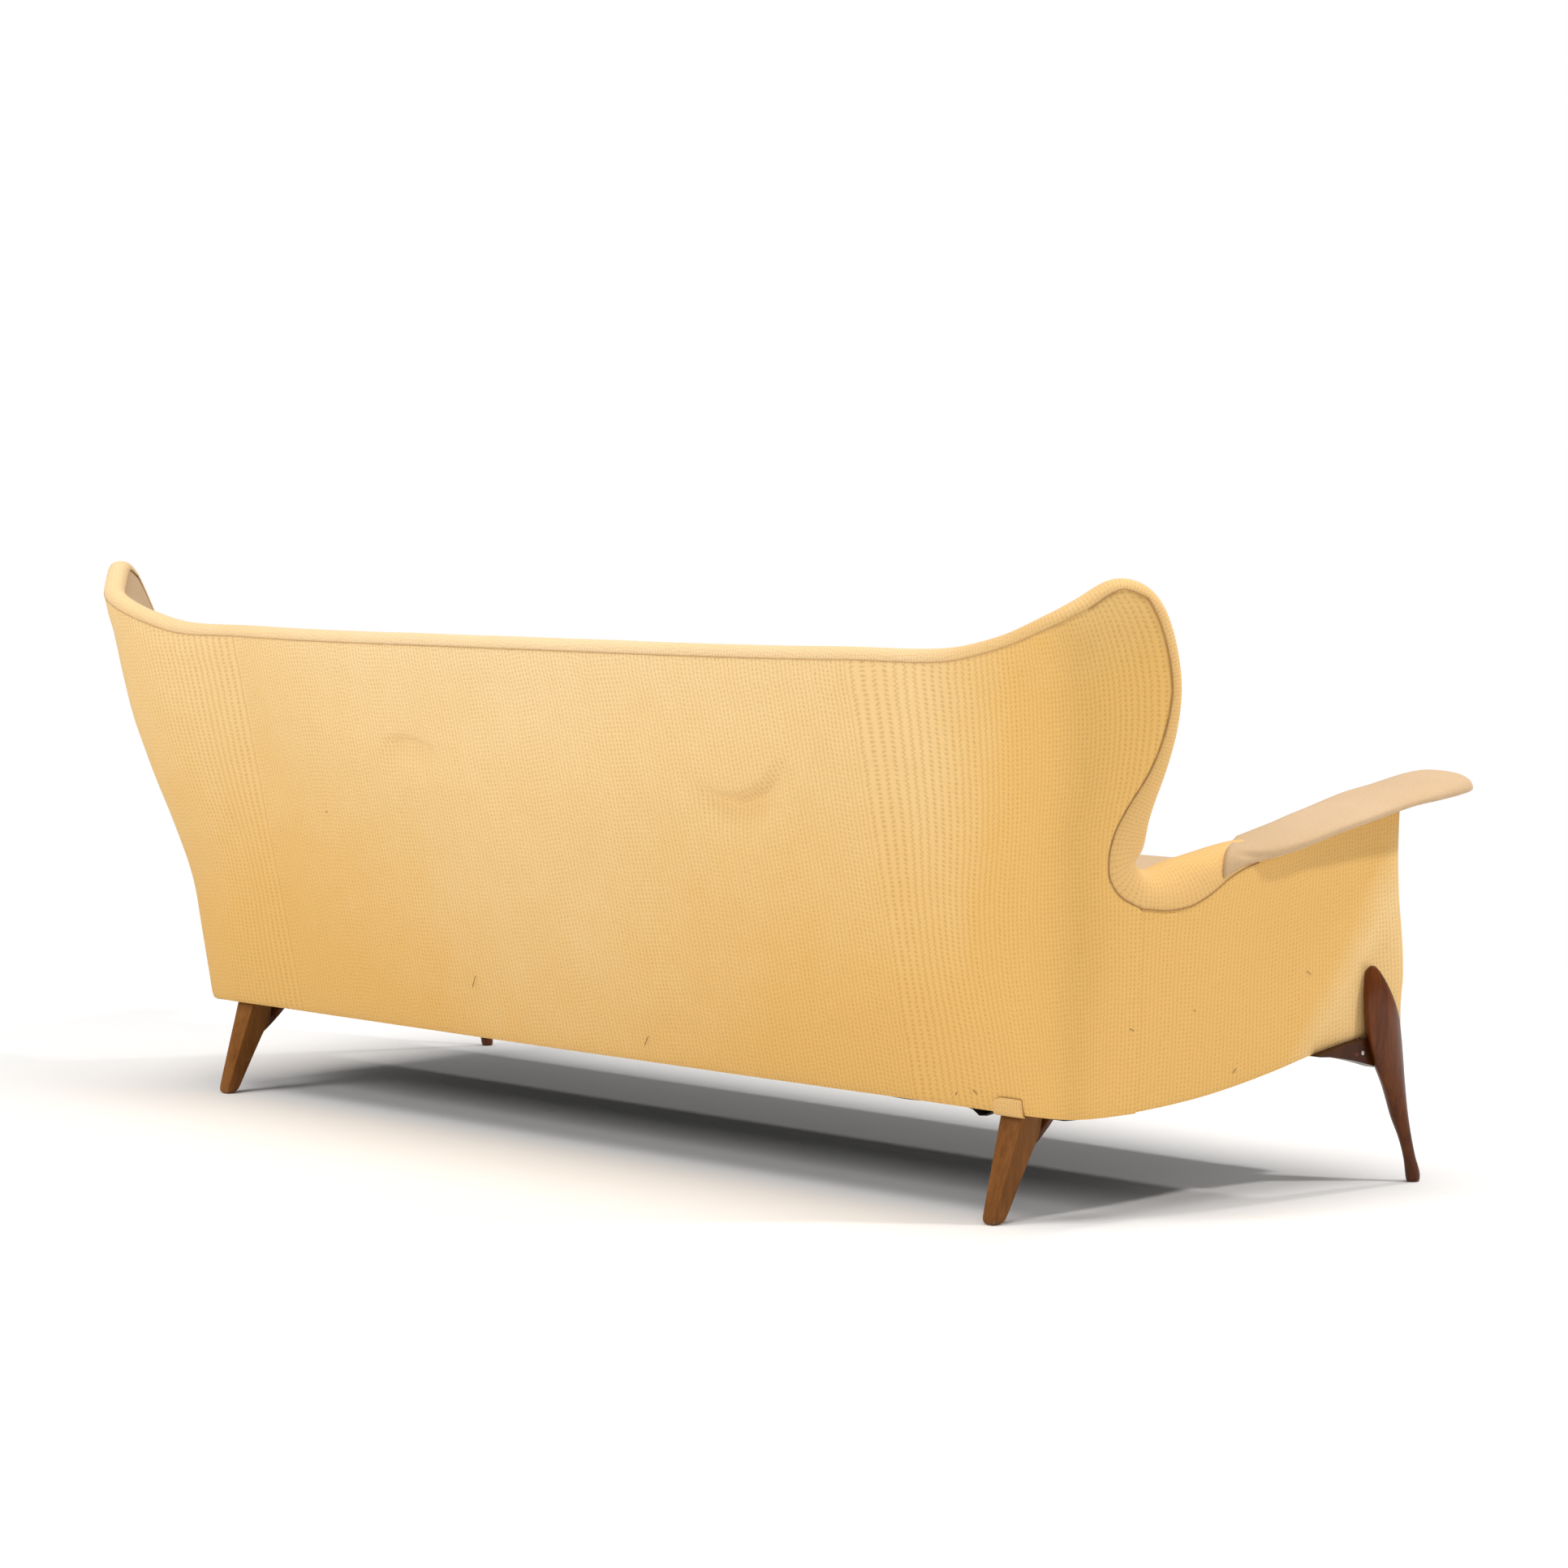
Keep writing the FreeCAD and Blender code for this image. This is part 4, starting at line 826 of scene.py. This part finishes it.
def arm_rests():
    """Flat tongues, cut off obliquely at the rear, where each laps over the band in a fold."""
    ring = 56
    start, middle_x = REST_REAR + 10, 1038
    rows = [start + (REST_FRONT - start) * (1 - (1 - k)**1.6) for k in steps(0.0, 1.0, 120)]
    for side, name in LEFT_AND_RIGHT:
        verts, uvs = [], []
        for row in rows:
            outer = smooth(REST, row)[0]
            oblique = 1.5 * (1 - ease((row - start) / 150))
            lip = 0.84 + 0.16 * math.sqrt(1 - (1 - min((row - start) / 9.0, 1.0))**2)
            for k in range(ring):
                phi = 2 * math.pi * k / ring
                c, d = math.cos(phi), math.sin(phi)
                u = math.copysign(abs(c)**0.72, c)
                y = row
                for _ in range(2):
                    xo, xi, crest, lift = smooth(REST, y)
                    middle = middle_x + ((xo + xi) / 2 - middle_x) * min(max((y - 700) / 60, 0), 1)
                    x = middle + (xo - middle if u > 0 else middle - xi) * u * (0.5 + 0.5 * lip)
                    y = row + oblique * max(outer - x, 0)
                crest *= lip
                edge = 0.38 * crest
                if d > 0:
                    z = edge + (crest - edge) * abs(d)**(0.95 if u > 0 else 1.7)
                else:
                    z = lift + (edge - lift) * (1 - abs(d)**0.5)
                share = z / crest
                z += rest_line(-y) + ripple((x, y, z), 64.0, 1.4) * max(d, 0)
                along = (y - 262) / 78
                fold = math.exp(-((share - 0.78 + 0.62 * along) / 0.13)**2)
                fold *= math.sin(math.pi * min(max(along, 0), 1)) * max(u, 0)**0.5
                verts.append(Vector((side * (x - 3.6 * fold), -y, z - 2.4 * fold)))
                uvs.append((y / 1000, phi * 0.05))
        faces = grid_faces(len(rows), ring, closed=True)
        faces.append(tuple(range(ring)))
        faces.append(tuple(reversed(range((len(rows) - 1) * ring, len(rows) * ring))))
        if side > 0:
            faces = [face[::-1] for face in faces]
        piece = make("arm_rest_" + name, verts, faces, PLAIN, "plain_wool", uvs)
        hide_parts("arm_rest_cover_" + name, "arm_rest_pad_" + name)

    verts, faces = [], []
    for side in (1, -1):
        rings = []
        for row in steps(318, 770, 50):
            outer, inner, _, lift = smooth(REST, row)
            low = rest_line(-row) + max(lift, 0) + 1.5
            high = low + 7.0
            pinch = 10 * max((row - 740) / 30, 0)**2
            x0 = max(inner + 14, 1006 - max(row - 400, 0) * 0.3) + pinch
            x1 = outer - 9 - pinch
            corners = ((x0, low), (x1, low), (x1, high), (x0, high - 2.0))
            rings.append([Vector((side * x, -row, z)) for x, z in corners])
        first = len(verts)
        verts += [p for ring_points in rings for p in ring_points]
        made = grid_faces(len(rings), 4, closed=True)
        made += [(0, 1, 2, 3), tuple(len(rings) * 4 - k for k in (1, 2, 3, 4))]
        faces += [tuple(first + k for k in (face if side < 0 else face[::-1])) for face in made]
    boards = make("arm_rest_shaped_boards", verts, faces, BEECH, "beech", flat=True)
    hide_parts("arm_rest_boards")


# Seat: front border, deck and loose cushions
def seat_front():
    half, border_foot = 952.0, 226
    pad, gap, cover = 17, 0.45, 2.5
    cover_front = FRONT_RAIL_FACE - pad - gap - cover
    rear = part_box("deck_cover")[1][1] * 1000 - SHIFT

    def border(x, j):
        z = border_foot + j * (deck_top - border_foot)
        out = 5.0 * math.sin(math.pi * j)**0.6 + ripple((x, 0, z), 130.0, 0.8)
        return Vector((x, cover_front + 3 - out, z))

    def deck(x, y):
        return Vector((x, y, deck_top - 0.6 + ripple((x, y, 0), 90.0, 0.5)))

    grid = grid_of(steps(-half, half, 120), steps(0.0, 1.0, 24), border)
    piece = skin("seat_front", grid, RIBBED, "ribbed_wool")
    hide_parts("front_border_cover", "front_border_pad")
    grid = grid_of(steps(-half + 3, half - 3, 90), steps(cover_front + 2, rear, 40), deck)
    piece = skin("seat_deck", grid, PLAIN, "plain_wool", thick=14.0)
    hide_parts("deck_cover", "deck_pad")


def cushions():
    """Loose cushions, crowned on top. The outer two are rounder in the corner where the wing curves."""
    tall, inset = 108.0, 3.0
    crown = ((0.96, 3), (0.90, 8), (0.80, 13), (0.66, 17), (0.48, 19.5), (0.26, 20.5))
    radii_of = {"left": (20, 20, 70, 20), "centre": (20, 20, 20, 20), "right": (20, 20, 20, 70)}
    for name, radii in radii_of.items():
        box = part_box("seat_cushion_cover_" + name)
        (x0, y0, z0), (x1, y1, _) = [(x * 1000, y * 1000 - SHIFT, z * 1000) for x, y, z in box]
        corners = ((x0, y0, 1, 1, 180), (x1, y0, -1, 1, 270), (x1, y1, -1, -1, 0), (x0, y1, 1, -1, 90))
        outline = []
        for (x, y, sx, sy, start), r in zip(corners, radii):
            for k in range(7):
                angle = math.radians(start + 15 * k)
                outline.append((x + sx * r + r * math.cos(angle), y + sy * r + r * math.sin(angle)))
        full = []
        for (px, py), (qx, qy) in zip(outline, outline[1:] + outline[:1]):
            count = max(1, round(math.dist((px, py), (qx, qy)) / 12))
            full += [(px + (qx - px) * k / count, py + (qy - py) * k / count) for k in range(count)]
        cx, cy = (x0 + x1) / 2, (y0 + y1) / 2
        sizes = []
        for t in steps(0.0, 1.0, 12):
            draw = 11 * abs(2 * t - 1)**5 + inset
            sizes.append((1 - draw / ((x1 - x0) / 2), 1 - draw / ((y1 - y0) / 2), z0 + 3 + t * (tall - 4)))
        sizes += [(grow, grow, z0 + tall - 1 + rise - 2) for grow, rise in crown]
        verts = [(cx + (x - cx) * gx, cy + (y - cy) * gy, z) for gx, gy, z in sizes for x, y in full]
        count, last = len(full), (len(sizes) - 1) * len(full)
        faces = [(a, b, d, c) for a, c, d, b in grid_faces(len(sizes), count, closed=True)]
        faces += [tuple(range(last, last + count)), tuple(reversed(range(count)))]
        piece = shaped("seat_cushion_" + name, verts, faces, PLAIN)
        puff(piece, voxel=0.006, cap=0.009)
        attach(piece, "seat_cushion_" + name)
        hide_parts("seat_cushion_cover_" + name, "seat_cushion_core_" + name)


SWELL_FRAMES = 15


def puff(piece, voxel, cap):
    """Remeshes a closed piece and lets pressure swell it, each point by at most cap metres."""
    bpy.context.view_layer.objects.active = piece
    remesh = piece.modifiers.new("remesh", "REMESH")
    remesh.mode = "VOXEL"
    remesh.voxel_size = voxel * 1.0
    bpy.ops.object.modifier_apply(modifier=remesh.name)
    piece.data.polygons.foreach_set("use_smooth", [True] * len(piece.data.polygons))
    still = [v.co.copy() for v in piece.data.vertices]
    cloth = piece.modifiers.new("cloth", "CLOTH")
    cloth.settings.use_pressure = True
    cloth.settings.uniform_pressure_force = 4.0
    cloth.settings.effector_weights.gravity = 0
    cloth.settings.quality = 4
    scene = bpy.context.scene
    for step in range(1, SWELL_FRAMES + 1):
        scene.frame_set(step)
    blown = piece.evaluated_get(bpy.context.evaluated_depsgraph_get())
    swollen = [v.co.copy() for v in blown.data.vertices]
    piece.modifiers.remove(cloth)
    for v, a, b in zip(piece.data.vertices, still, swollen):
        shift = b - a
        if shift.length > cap:
            shift = shift * (cap / shift.length)
        v.co = a + shift
    scene.frame_set(1)


# Legs
def front_legs():
    """Dagger-shaped blades. Above the foot the inner half is deeper, so that it sinks into the arm's side."""
    for side, name in LEFT_AND_RIGHT:
        rings = []
        for z in [0.0, 0.8, 2.0, 4.0] + steps(6.0, 321.5, 104):
            y, half_y, half_x = smooth(FRONT_LEG, z)
            rounded = math.sqrt(max(1 - (1 - min(z + 0.6, 6.0) / 6.0)**2, 0.0))
            half_y *= 0.72 + 0.28 * rounded
            half_x *= 0.72 + 0.28 * rounded
            sunk = 8.5 * ease((z - 15) / 90) + 4.5 * ease((z - 150) / 60)
            sunk *= math.sqrt(max(1 - (max(z - 298, 0.0) / 24)**2, 0.0))
            ring = []
            for k in range(36):
                phi = 2 * math.pi * k / 36
                c, d = math.cos(phi), math.sin(phi)
                reach = half_x if c > 0 else 0.9 * half_x + sunk
                blade = 1.0 + 0.30 * ease((z - 90) / 60)
                x = reach * math.copysign(abs(c)**blade, c)
                ring.append(Vector((side * (front_foot_x + x), y + half_y * d, z)))
            rings.append(ring)
        piece = loop_piece("front_leg_blade_" + name, rings, MAHOGANY, "polished_mahogany")
        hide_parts("front_leg_" + name)


def rear_legs():
    """Square tapered legs with sharp worn arrises and a rubbed tip, each with a web that runs forward."""
    top, top_back, rake = 155.0, -50.0, 52.0
    front_line = [(0.0, 0.0), (20.0, -1.0), (60.0, -3.5), (95.0, -6.5), (118.0, -9.0), (135.0, -4.5),
                  (155.0, 3.0)]
    for side, name in LEFT_AND_RIGHT:
        cx = side * rear_foot_x
        rings = []
        for z in [0.0, 0.6, 1.6, 3.2, 5.5, 8.5] + steps(12.0, top, 44):
            t = z / top
            worn = 6.5 * (1 - math.sqrt(1 - (1 - min(z, 9.0) / 9.0)**2)) if z < 9 else 0.0
            half = (23 + 20 * t) / 2 - worn
            back = top_back + rake * (1 - t) - worn * 1.1
            fore = top_back + rake * (1 - t) - (23 + 17 * t) + smooth(front_line, z)[0] + worn * 1.1
            r = 1.5 + 3.0 * math.exp(-z / 10)
            ring = []
            for x, y, start in ((half, back, 0), (-half, back, 90), (-half, fore, 180), (half, fore, 270)):
                sx, sy = math.copysign(1, x), (1 if start in (0, 90) else -1)
                bend = r + 0.35 * noise.noise(Vector((x * 3, y / 7, z / 6)))
                for k in range(6):
                    angle = math.radians(start + 18 * k)
                    ring.append(Vector((cx + x - sx * bend + bend * math.cos(angle),
                                        y - sy * bend + bend * math.sin(angle), z)))
            rings.append(ring)
        piece = loop_piece("rear_leg_post_" + name, rings, WORN, "polished_mahogany")
        front = top_back - 40.0
        under = [(front + 14, 96.0), (front - 5, 110.0), (front - 22, 124.0), (front - 38, 138.5),
                 (front - 52, top)]
        rings = []
        for x in (-9.0, -8.2, 8.2, 9.0):
            shrink = 0.9 if abs(x) > 8.5 else 0.0
            ring = [Vector((cx + x, y + shrink * 0.5, z + shrink)) for y, z in under]
            ring += [Vector((cx + x, y, top)) for y in (front - 30, front - 8, front + 14)]
            rings.append(ring)
        loop_piece("rear_leg_web_" + name, rings, MAHOGANY, "polished_mahogany")
        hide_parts("rear_leg_" + name)


# What hangs or sticks out at the bottom edge
def tab():
    """Folded end of the cloth, drawn over the top of the right rear leg."""
    lap = 3.0

    def face(i, j):
        x = -(rear_foot_x + 4) + i * 27.0
        rise = 22.0 * (1 - 0.20 * max(i, 0)**4) - 5.0 * max(i, 0)**3
        z = body_bottom - lap + j * (rise + lap)
        across = math.cos(i * math.pi / 2)**0.4 if abs(i) < 0.999 else 0
        swell = 3.2 * across * math.sin(math.pi * min(0.1 + 0.86 * j, 0.97))**0.5
        swell *= 0.5 if abs(i) > 0.97 else 1.0
        point = layer(-share_for_x(abs(x), 165.0), max(z, body_bottom), -0.6 - swell)
        return Vector((x, point.y - 3.5 * max(0.12 - j, 0) / 0.12, z))

    grid = grid_of(steps(-1.0, 1.0, 22), steps(0.0, 1.0, 16), face)
    skin("leg_tab_right", grid, BORDER, "plain_wool", thick=1.2)
    thread("leg_tab_fold_right", [column[-1] + Vector((0, 0.2, 0.5)) for column in grid], 0.35)


SNAGS = [
    (-0.685, 172, 9, 0.6, 0.3), (-0.14, 190, 16, -1.1, 0.2), (-0.99, 268, 9, 0.4, 0.2),
    (-1.19, 285, 4, 0.9, 0.3), (-1.35, 196, 8, -0.8, 0.3), (0.20, 250, 20, -1.2, 0.2),
    (-1.65, 206, 7, -1.1, 0.3), (-0.66, 166, 8, 2.2, 0.3), (-1.63, 318, 12, 0.5, 0.4)]


def loose_threads():
    """Short dark snags in the cloth, by share, height, length, direction in radians and lean off the face."""
    for n, (s, z, long, turn, lean) in enumerate(SNAGS):
        start = layer(s, z, -0.2)
        out = -inward(s, z)
        along = Vector((out.y, -out.x, 0)) * math.cos(turn) + Vector((0, 0, math.sin(turn)))
        points = [start + along * (long * k) + out * (0.4 + lean * 2.0 * math.sin(math.pi * k))
                  for k in steps(0.0, 1.0, 6)]
        thread("snag_%d" % n, points, 0.38, SNAG)


def bracket_details():
    """The screw head in one hole of each fin, the rim of the empty hole beside it and frayed cloth above."""
    head = [(-1.5, 1.0), (0.5, 1.0), (0.9, 0.86), (1.0, 0.5)]
    rim = [(-1.5, 1.0), (0.15, 1.0), (0.25, 0.86), (0.12, 0.5)]
    screw = ("screw", -605.5, 196.6, 3.4, head, STEEL, "steel")
    hole = ("hole", -591.5, 195.9, 3.0, rim, HOLE, "polished_mahogany")
    angles = [a * math.pi / 10 for a in range(20)]
    frays = [(-606, 9, -0.9), (-612, 7, -2.2), (-618, 11, -1.3), (-627, 6, -0.4)]
    for side, name in LEFT_AND_RIGHT:
        face = side * (front_foot_x - 8.0)
        for label, y, z, radius, profile, mat, slot in (screw, hole):
            rings = []
            for out, share in profile:
                x, r = face + side * out, radius * share
                rings.append([Vector((x, y + r * math.cos(a), z + r * math.sin(a))) for a in angles])
            loop_piece("bracket_%s_%s" % (label, name), rings, mat, slot)
        for k, (y, long, turn) in enumerate(frays):
            edge = bottom_edge(y)
            outer = layer(side * share_at(y, lambda s: body_bottom + 75), edge + 2, 0).x
            start = Vector((outer + side * 0.5, y, edge + 1.5))
            points = []
            for h in steps(0.0, 1.0, 6):
                x, y_off = side * 2.5 * math.sin(math.pi * h), long * h * math.cos(turn) + 1.5 * h * h
                points.append(start + Vector((x, y_off, long * h * math.sin(turn))))
            thread("frayed_%d_%s" % (k, name), points, 0.42, BORDER)


def screw_shanks():
    """The screws that hold each fin and leg to the frame, drawn in far enough to stay hidden."""
    radius, inner, outer = 1.6, 968.0, front_foot_x - 4.0
    fin_x, leg_y = front_foot_x - 34.0, -642.0
    for side, name in LEFT_AND_RIGHT:
        for k, y in enumerate((-545.0, -598.0)):
            low = bottom_edge(y) - 8.0
            points = [Vector((side * fin_x, y, low + 7.0 * n)) for n in range(5)]
            piece = thread("fin_screw_%d_%s" % (k, name), points, radius, STEEL, "steel")
        z = bottom_edge(leg_y) + 36.0
        points = [Vector((side * x, leg_y, z)) for x in steps(inner, outer, 4)]
        thread("leg_screw_" + name, points, radius, STEEL, "steel")
    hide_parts("leg_screws")


# Dust cover
def dust_cover():
    """Black lining under the seat. It sags in the middle, hangs at the rear and bulges near one leg."""
    front, rear = [corner[1] * 1000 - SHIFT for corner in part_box("dust_cover")]
    rear += 6

    def face(i, y):
        half = layer(share_at(y - 6, lambda s: body_bottom), body_bottom, 16).x - 3
        x = i * min(half, 1004.0)
        sag = 3.0 * (1 - i * i) * math.sin(math.pi * (y - front) / (rear - front))
        blob = 11 * math.exp(-((x + 812) / 14)**2 - ((y + 60) / 40)**2)
        hang = 5.5 * ease((y + 130) / 60) * (1 + 0.3 * noise.noise(Vector((x / 70, 3.0, 0))))
        low = bottom_edge(y) + 3.0 - sag - blob - hang
        return Vector((x, y, low + ripple((x, y, 0), 80.0, 0.8)))

    grid = grid_of(steps(-1.0, 1.0, 160), steps(front, rear, 60), face)
    piece = skin("dust_cover_sheet", grid, BLACK, "black_cloth", thick=0.8, flip=True)
    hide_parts("dust_cover")


# Stage, light and camera
def lamp(kind, name, place, target, size, power, colour=(1, 1, 1)):
    """Adds a lamp. size is an angle in degrees for a sun and a length for an area."""
    data = bpy.data.lights.new(name, kind)
    if kind == "SUN":
        data.angle = math.radians(size)
    else:
        data.size = size
    data.energy = power
    data.color = colour
    obj = bpy.data.objects.new(name, data)
    obj.location = place
    obj.rotation_euler = (Vector(target) - Vector(place)).to_track_quat("-Z", "Y").to_euler()
    bpy.context.scene.collection.objects.link(obj)


def stage():
    """A pale floor that fades to white, a soft sky that the camera sees as white, and the lamps."""
    bpy.ops.mesh.primitive_plane_add(size=80)
    floor = bpy.context.object
    floor.name = "floor"
    look = Look("pale floor")
    look.done((0.82, 0.82, 0.82), None, 0.0, Roughness=0.9, Specular_IOR_Level=0.1)
    far = look.nodes.new("ShaderNodeVectorMath")
    far.operation = "LENGTH"
    look.join(far.inputs[0], look.place())
    grow = look.span(far.outputs["Value"], (1.7, 3.0, 0.0, 1.0), "SMOOTHSTEP")
    seen = look.nodes.new("ShaderNodeLightPath").outputs["Is Camera Ray"]
    white = look.nodes.new("ShaderNodeEmission")
    both = look.nodes.new("ShaderNodeMixShader")
    for socket, value in zip(both.inputs, (look.times(seen, grow), look.shader.outputs[0], white.outputs[0])):
        look.join(socket, value)
    look.join(look.nodes["Material Output"].inputs[0], both.outputs[0])
    floor.data.materials.append(look.material)

    world = bpy.context.scene.world or bpy.data.worlds.new("world")
    bpy.context.scene.world = world
    world.use_nodes = True
    nodes, links = world.node_tree.nodes, world.node_tree.links
    nodes.clear()
    both = nodes.new("ShaderNodeMixShader")
    links.new(nodes.new("ShaderNodeLightPath").outputs["Is Camera Ray"], both.inputs[0])
    for place, strength in ((1, 0.20), (2, 1.0)):
        sky = nodes.new("ShaderNodeBackground")
        sky.inputs[0].default_value = (1, 1, 1, 1)
        sky.inputs[1].default_value = strength
        links.new(sky.outputs[0], both.inputs[place])
    links.new(both.outputs[0], nodes.new("ShaderNodeOutputWorld").inputs[0])

    warm = (1.0, 0.985, 0.97)
    lamp("SUN", "overhead", (-0.35, 0.5, 4.0), (0, 0, 0), 50.0, 2.35)
    lamp("AREA", "key", (1.2, 4.3, 3.1), (0.0, 0.2, 0.5), 1.8, 106, warm)
    lamp("AREA", "fill", (-4.3, 3.2, 2.3), (-0.9, 0.1, 0.5), 2.2, 22, warm)
    lamp("AREA", "side", (-4.1, -1.5, 4.1), (-1.0, -0.2, 0.35), 0.35, 108, (1.0, 0.97, 0.94))
    lamp("AREA", "front", (-1.85, -5.4, 4.3), (-1.0, -0.3, 0.4), 0.3, 100, (1.0, 0.97, 0.95))


def camera():
    """The camera of the photograph, by its azimuth, elevation, lens and place."""
    data = bpy.data.cameras.new("camera")
    data.sensor_width = 36.0
    data.lens = 95.03
    data.clip_end = 100.0
    cam = bpy.data.objects.new("camera", data)
    a, e = math.radians(226.2212), math.radians(3.8677)
    back = Vector((math.sin(a) * math.cos(e), -math.cos(a) * math.cos(e), math.sin(e)))
    right = Vector((-back.y, back.x, 0)).normalized()
    up = back.cross(right)
    turn = Matrix((right, up, back)).transposed().to_4x4()
    cam.matrix_world = Matrix.Translation((-4.7145, 4.0626 + SHIFT / 1000, 0.98)) @ turn
    bpy.context.scene.collection.objects.link(cam)
    bpy.context.scene.camera = cam


camera()
stage()
outside_back()
border_band()
arms()
inside_back()
arm_rests()
seat_front()
cushions()
front_legs()
rear_legs()
tab()
bracket_details()
screw_shanks()
loose_threads()
dust_cover()
bpy.context.scene.view_settings.view_transform = "Standard"
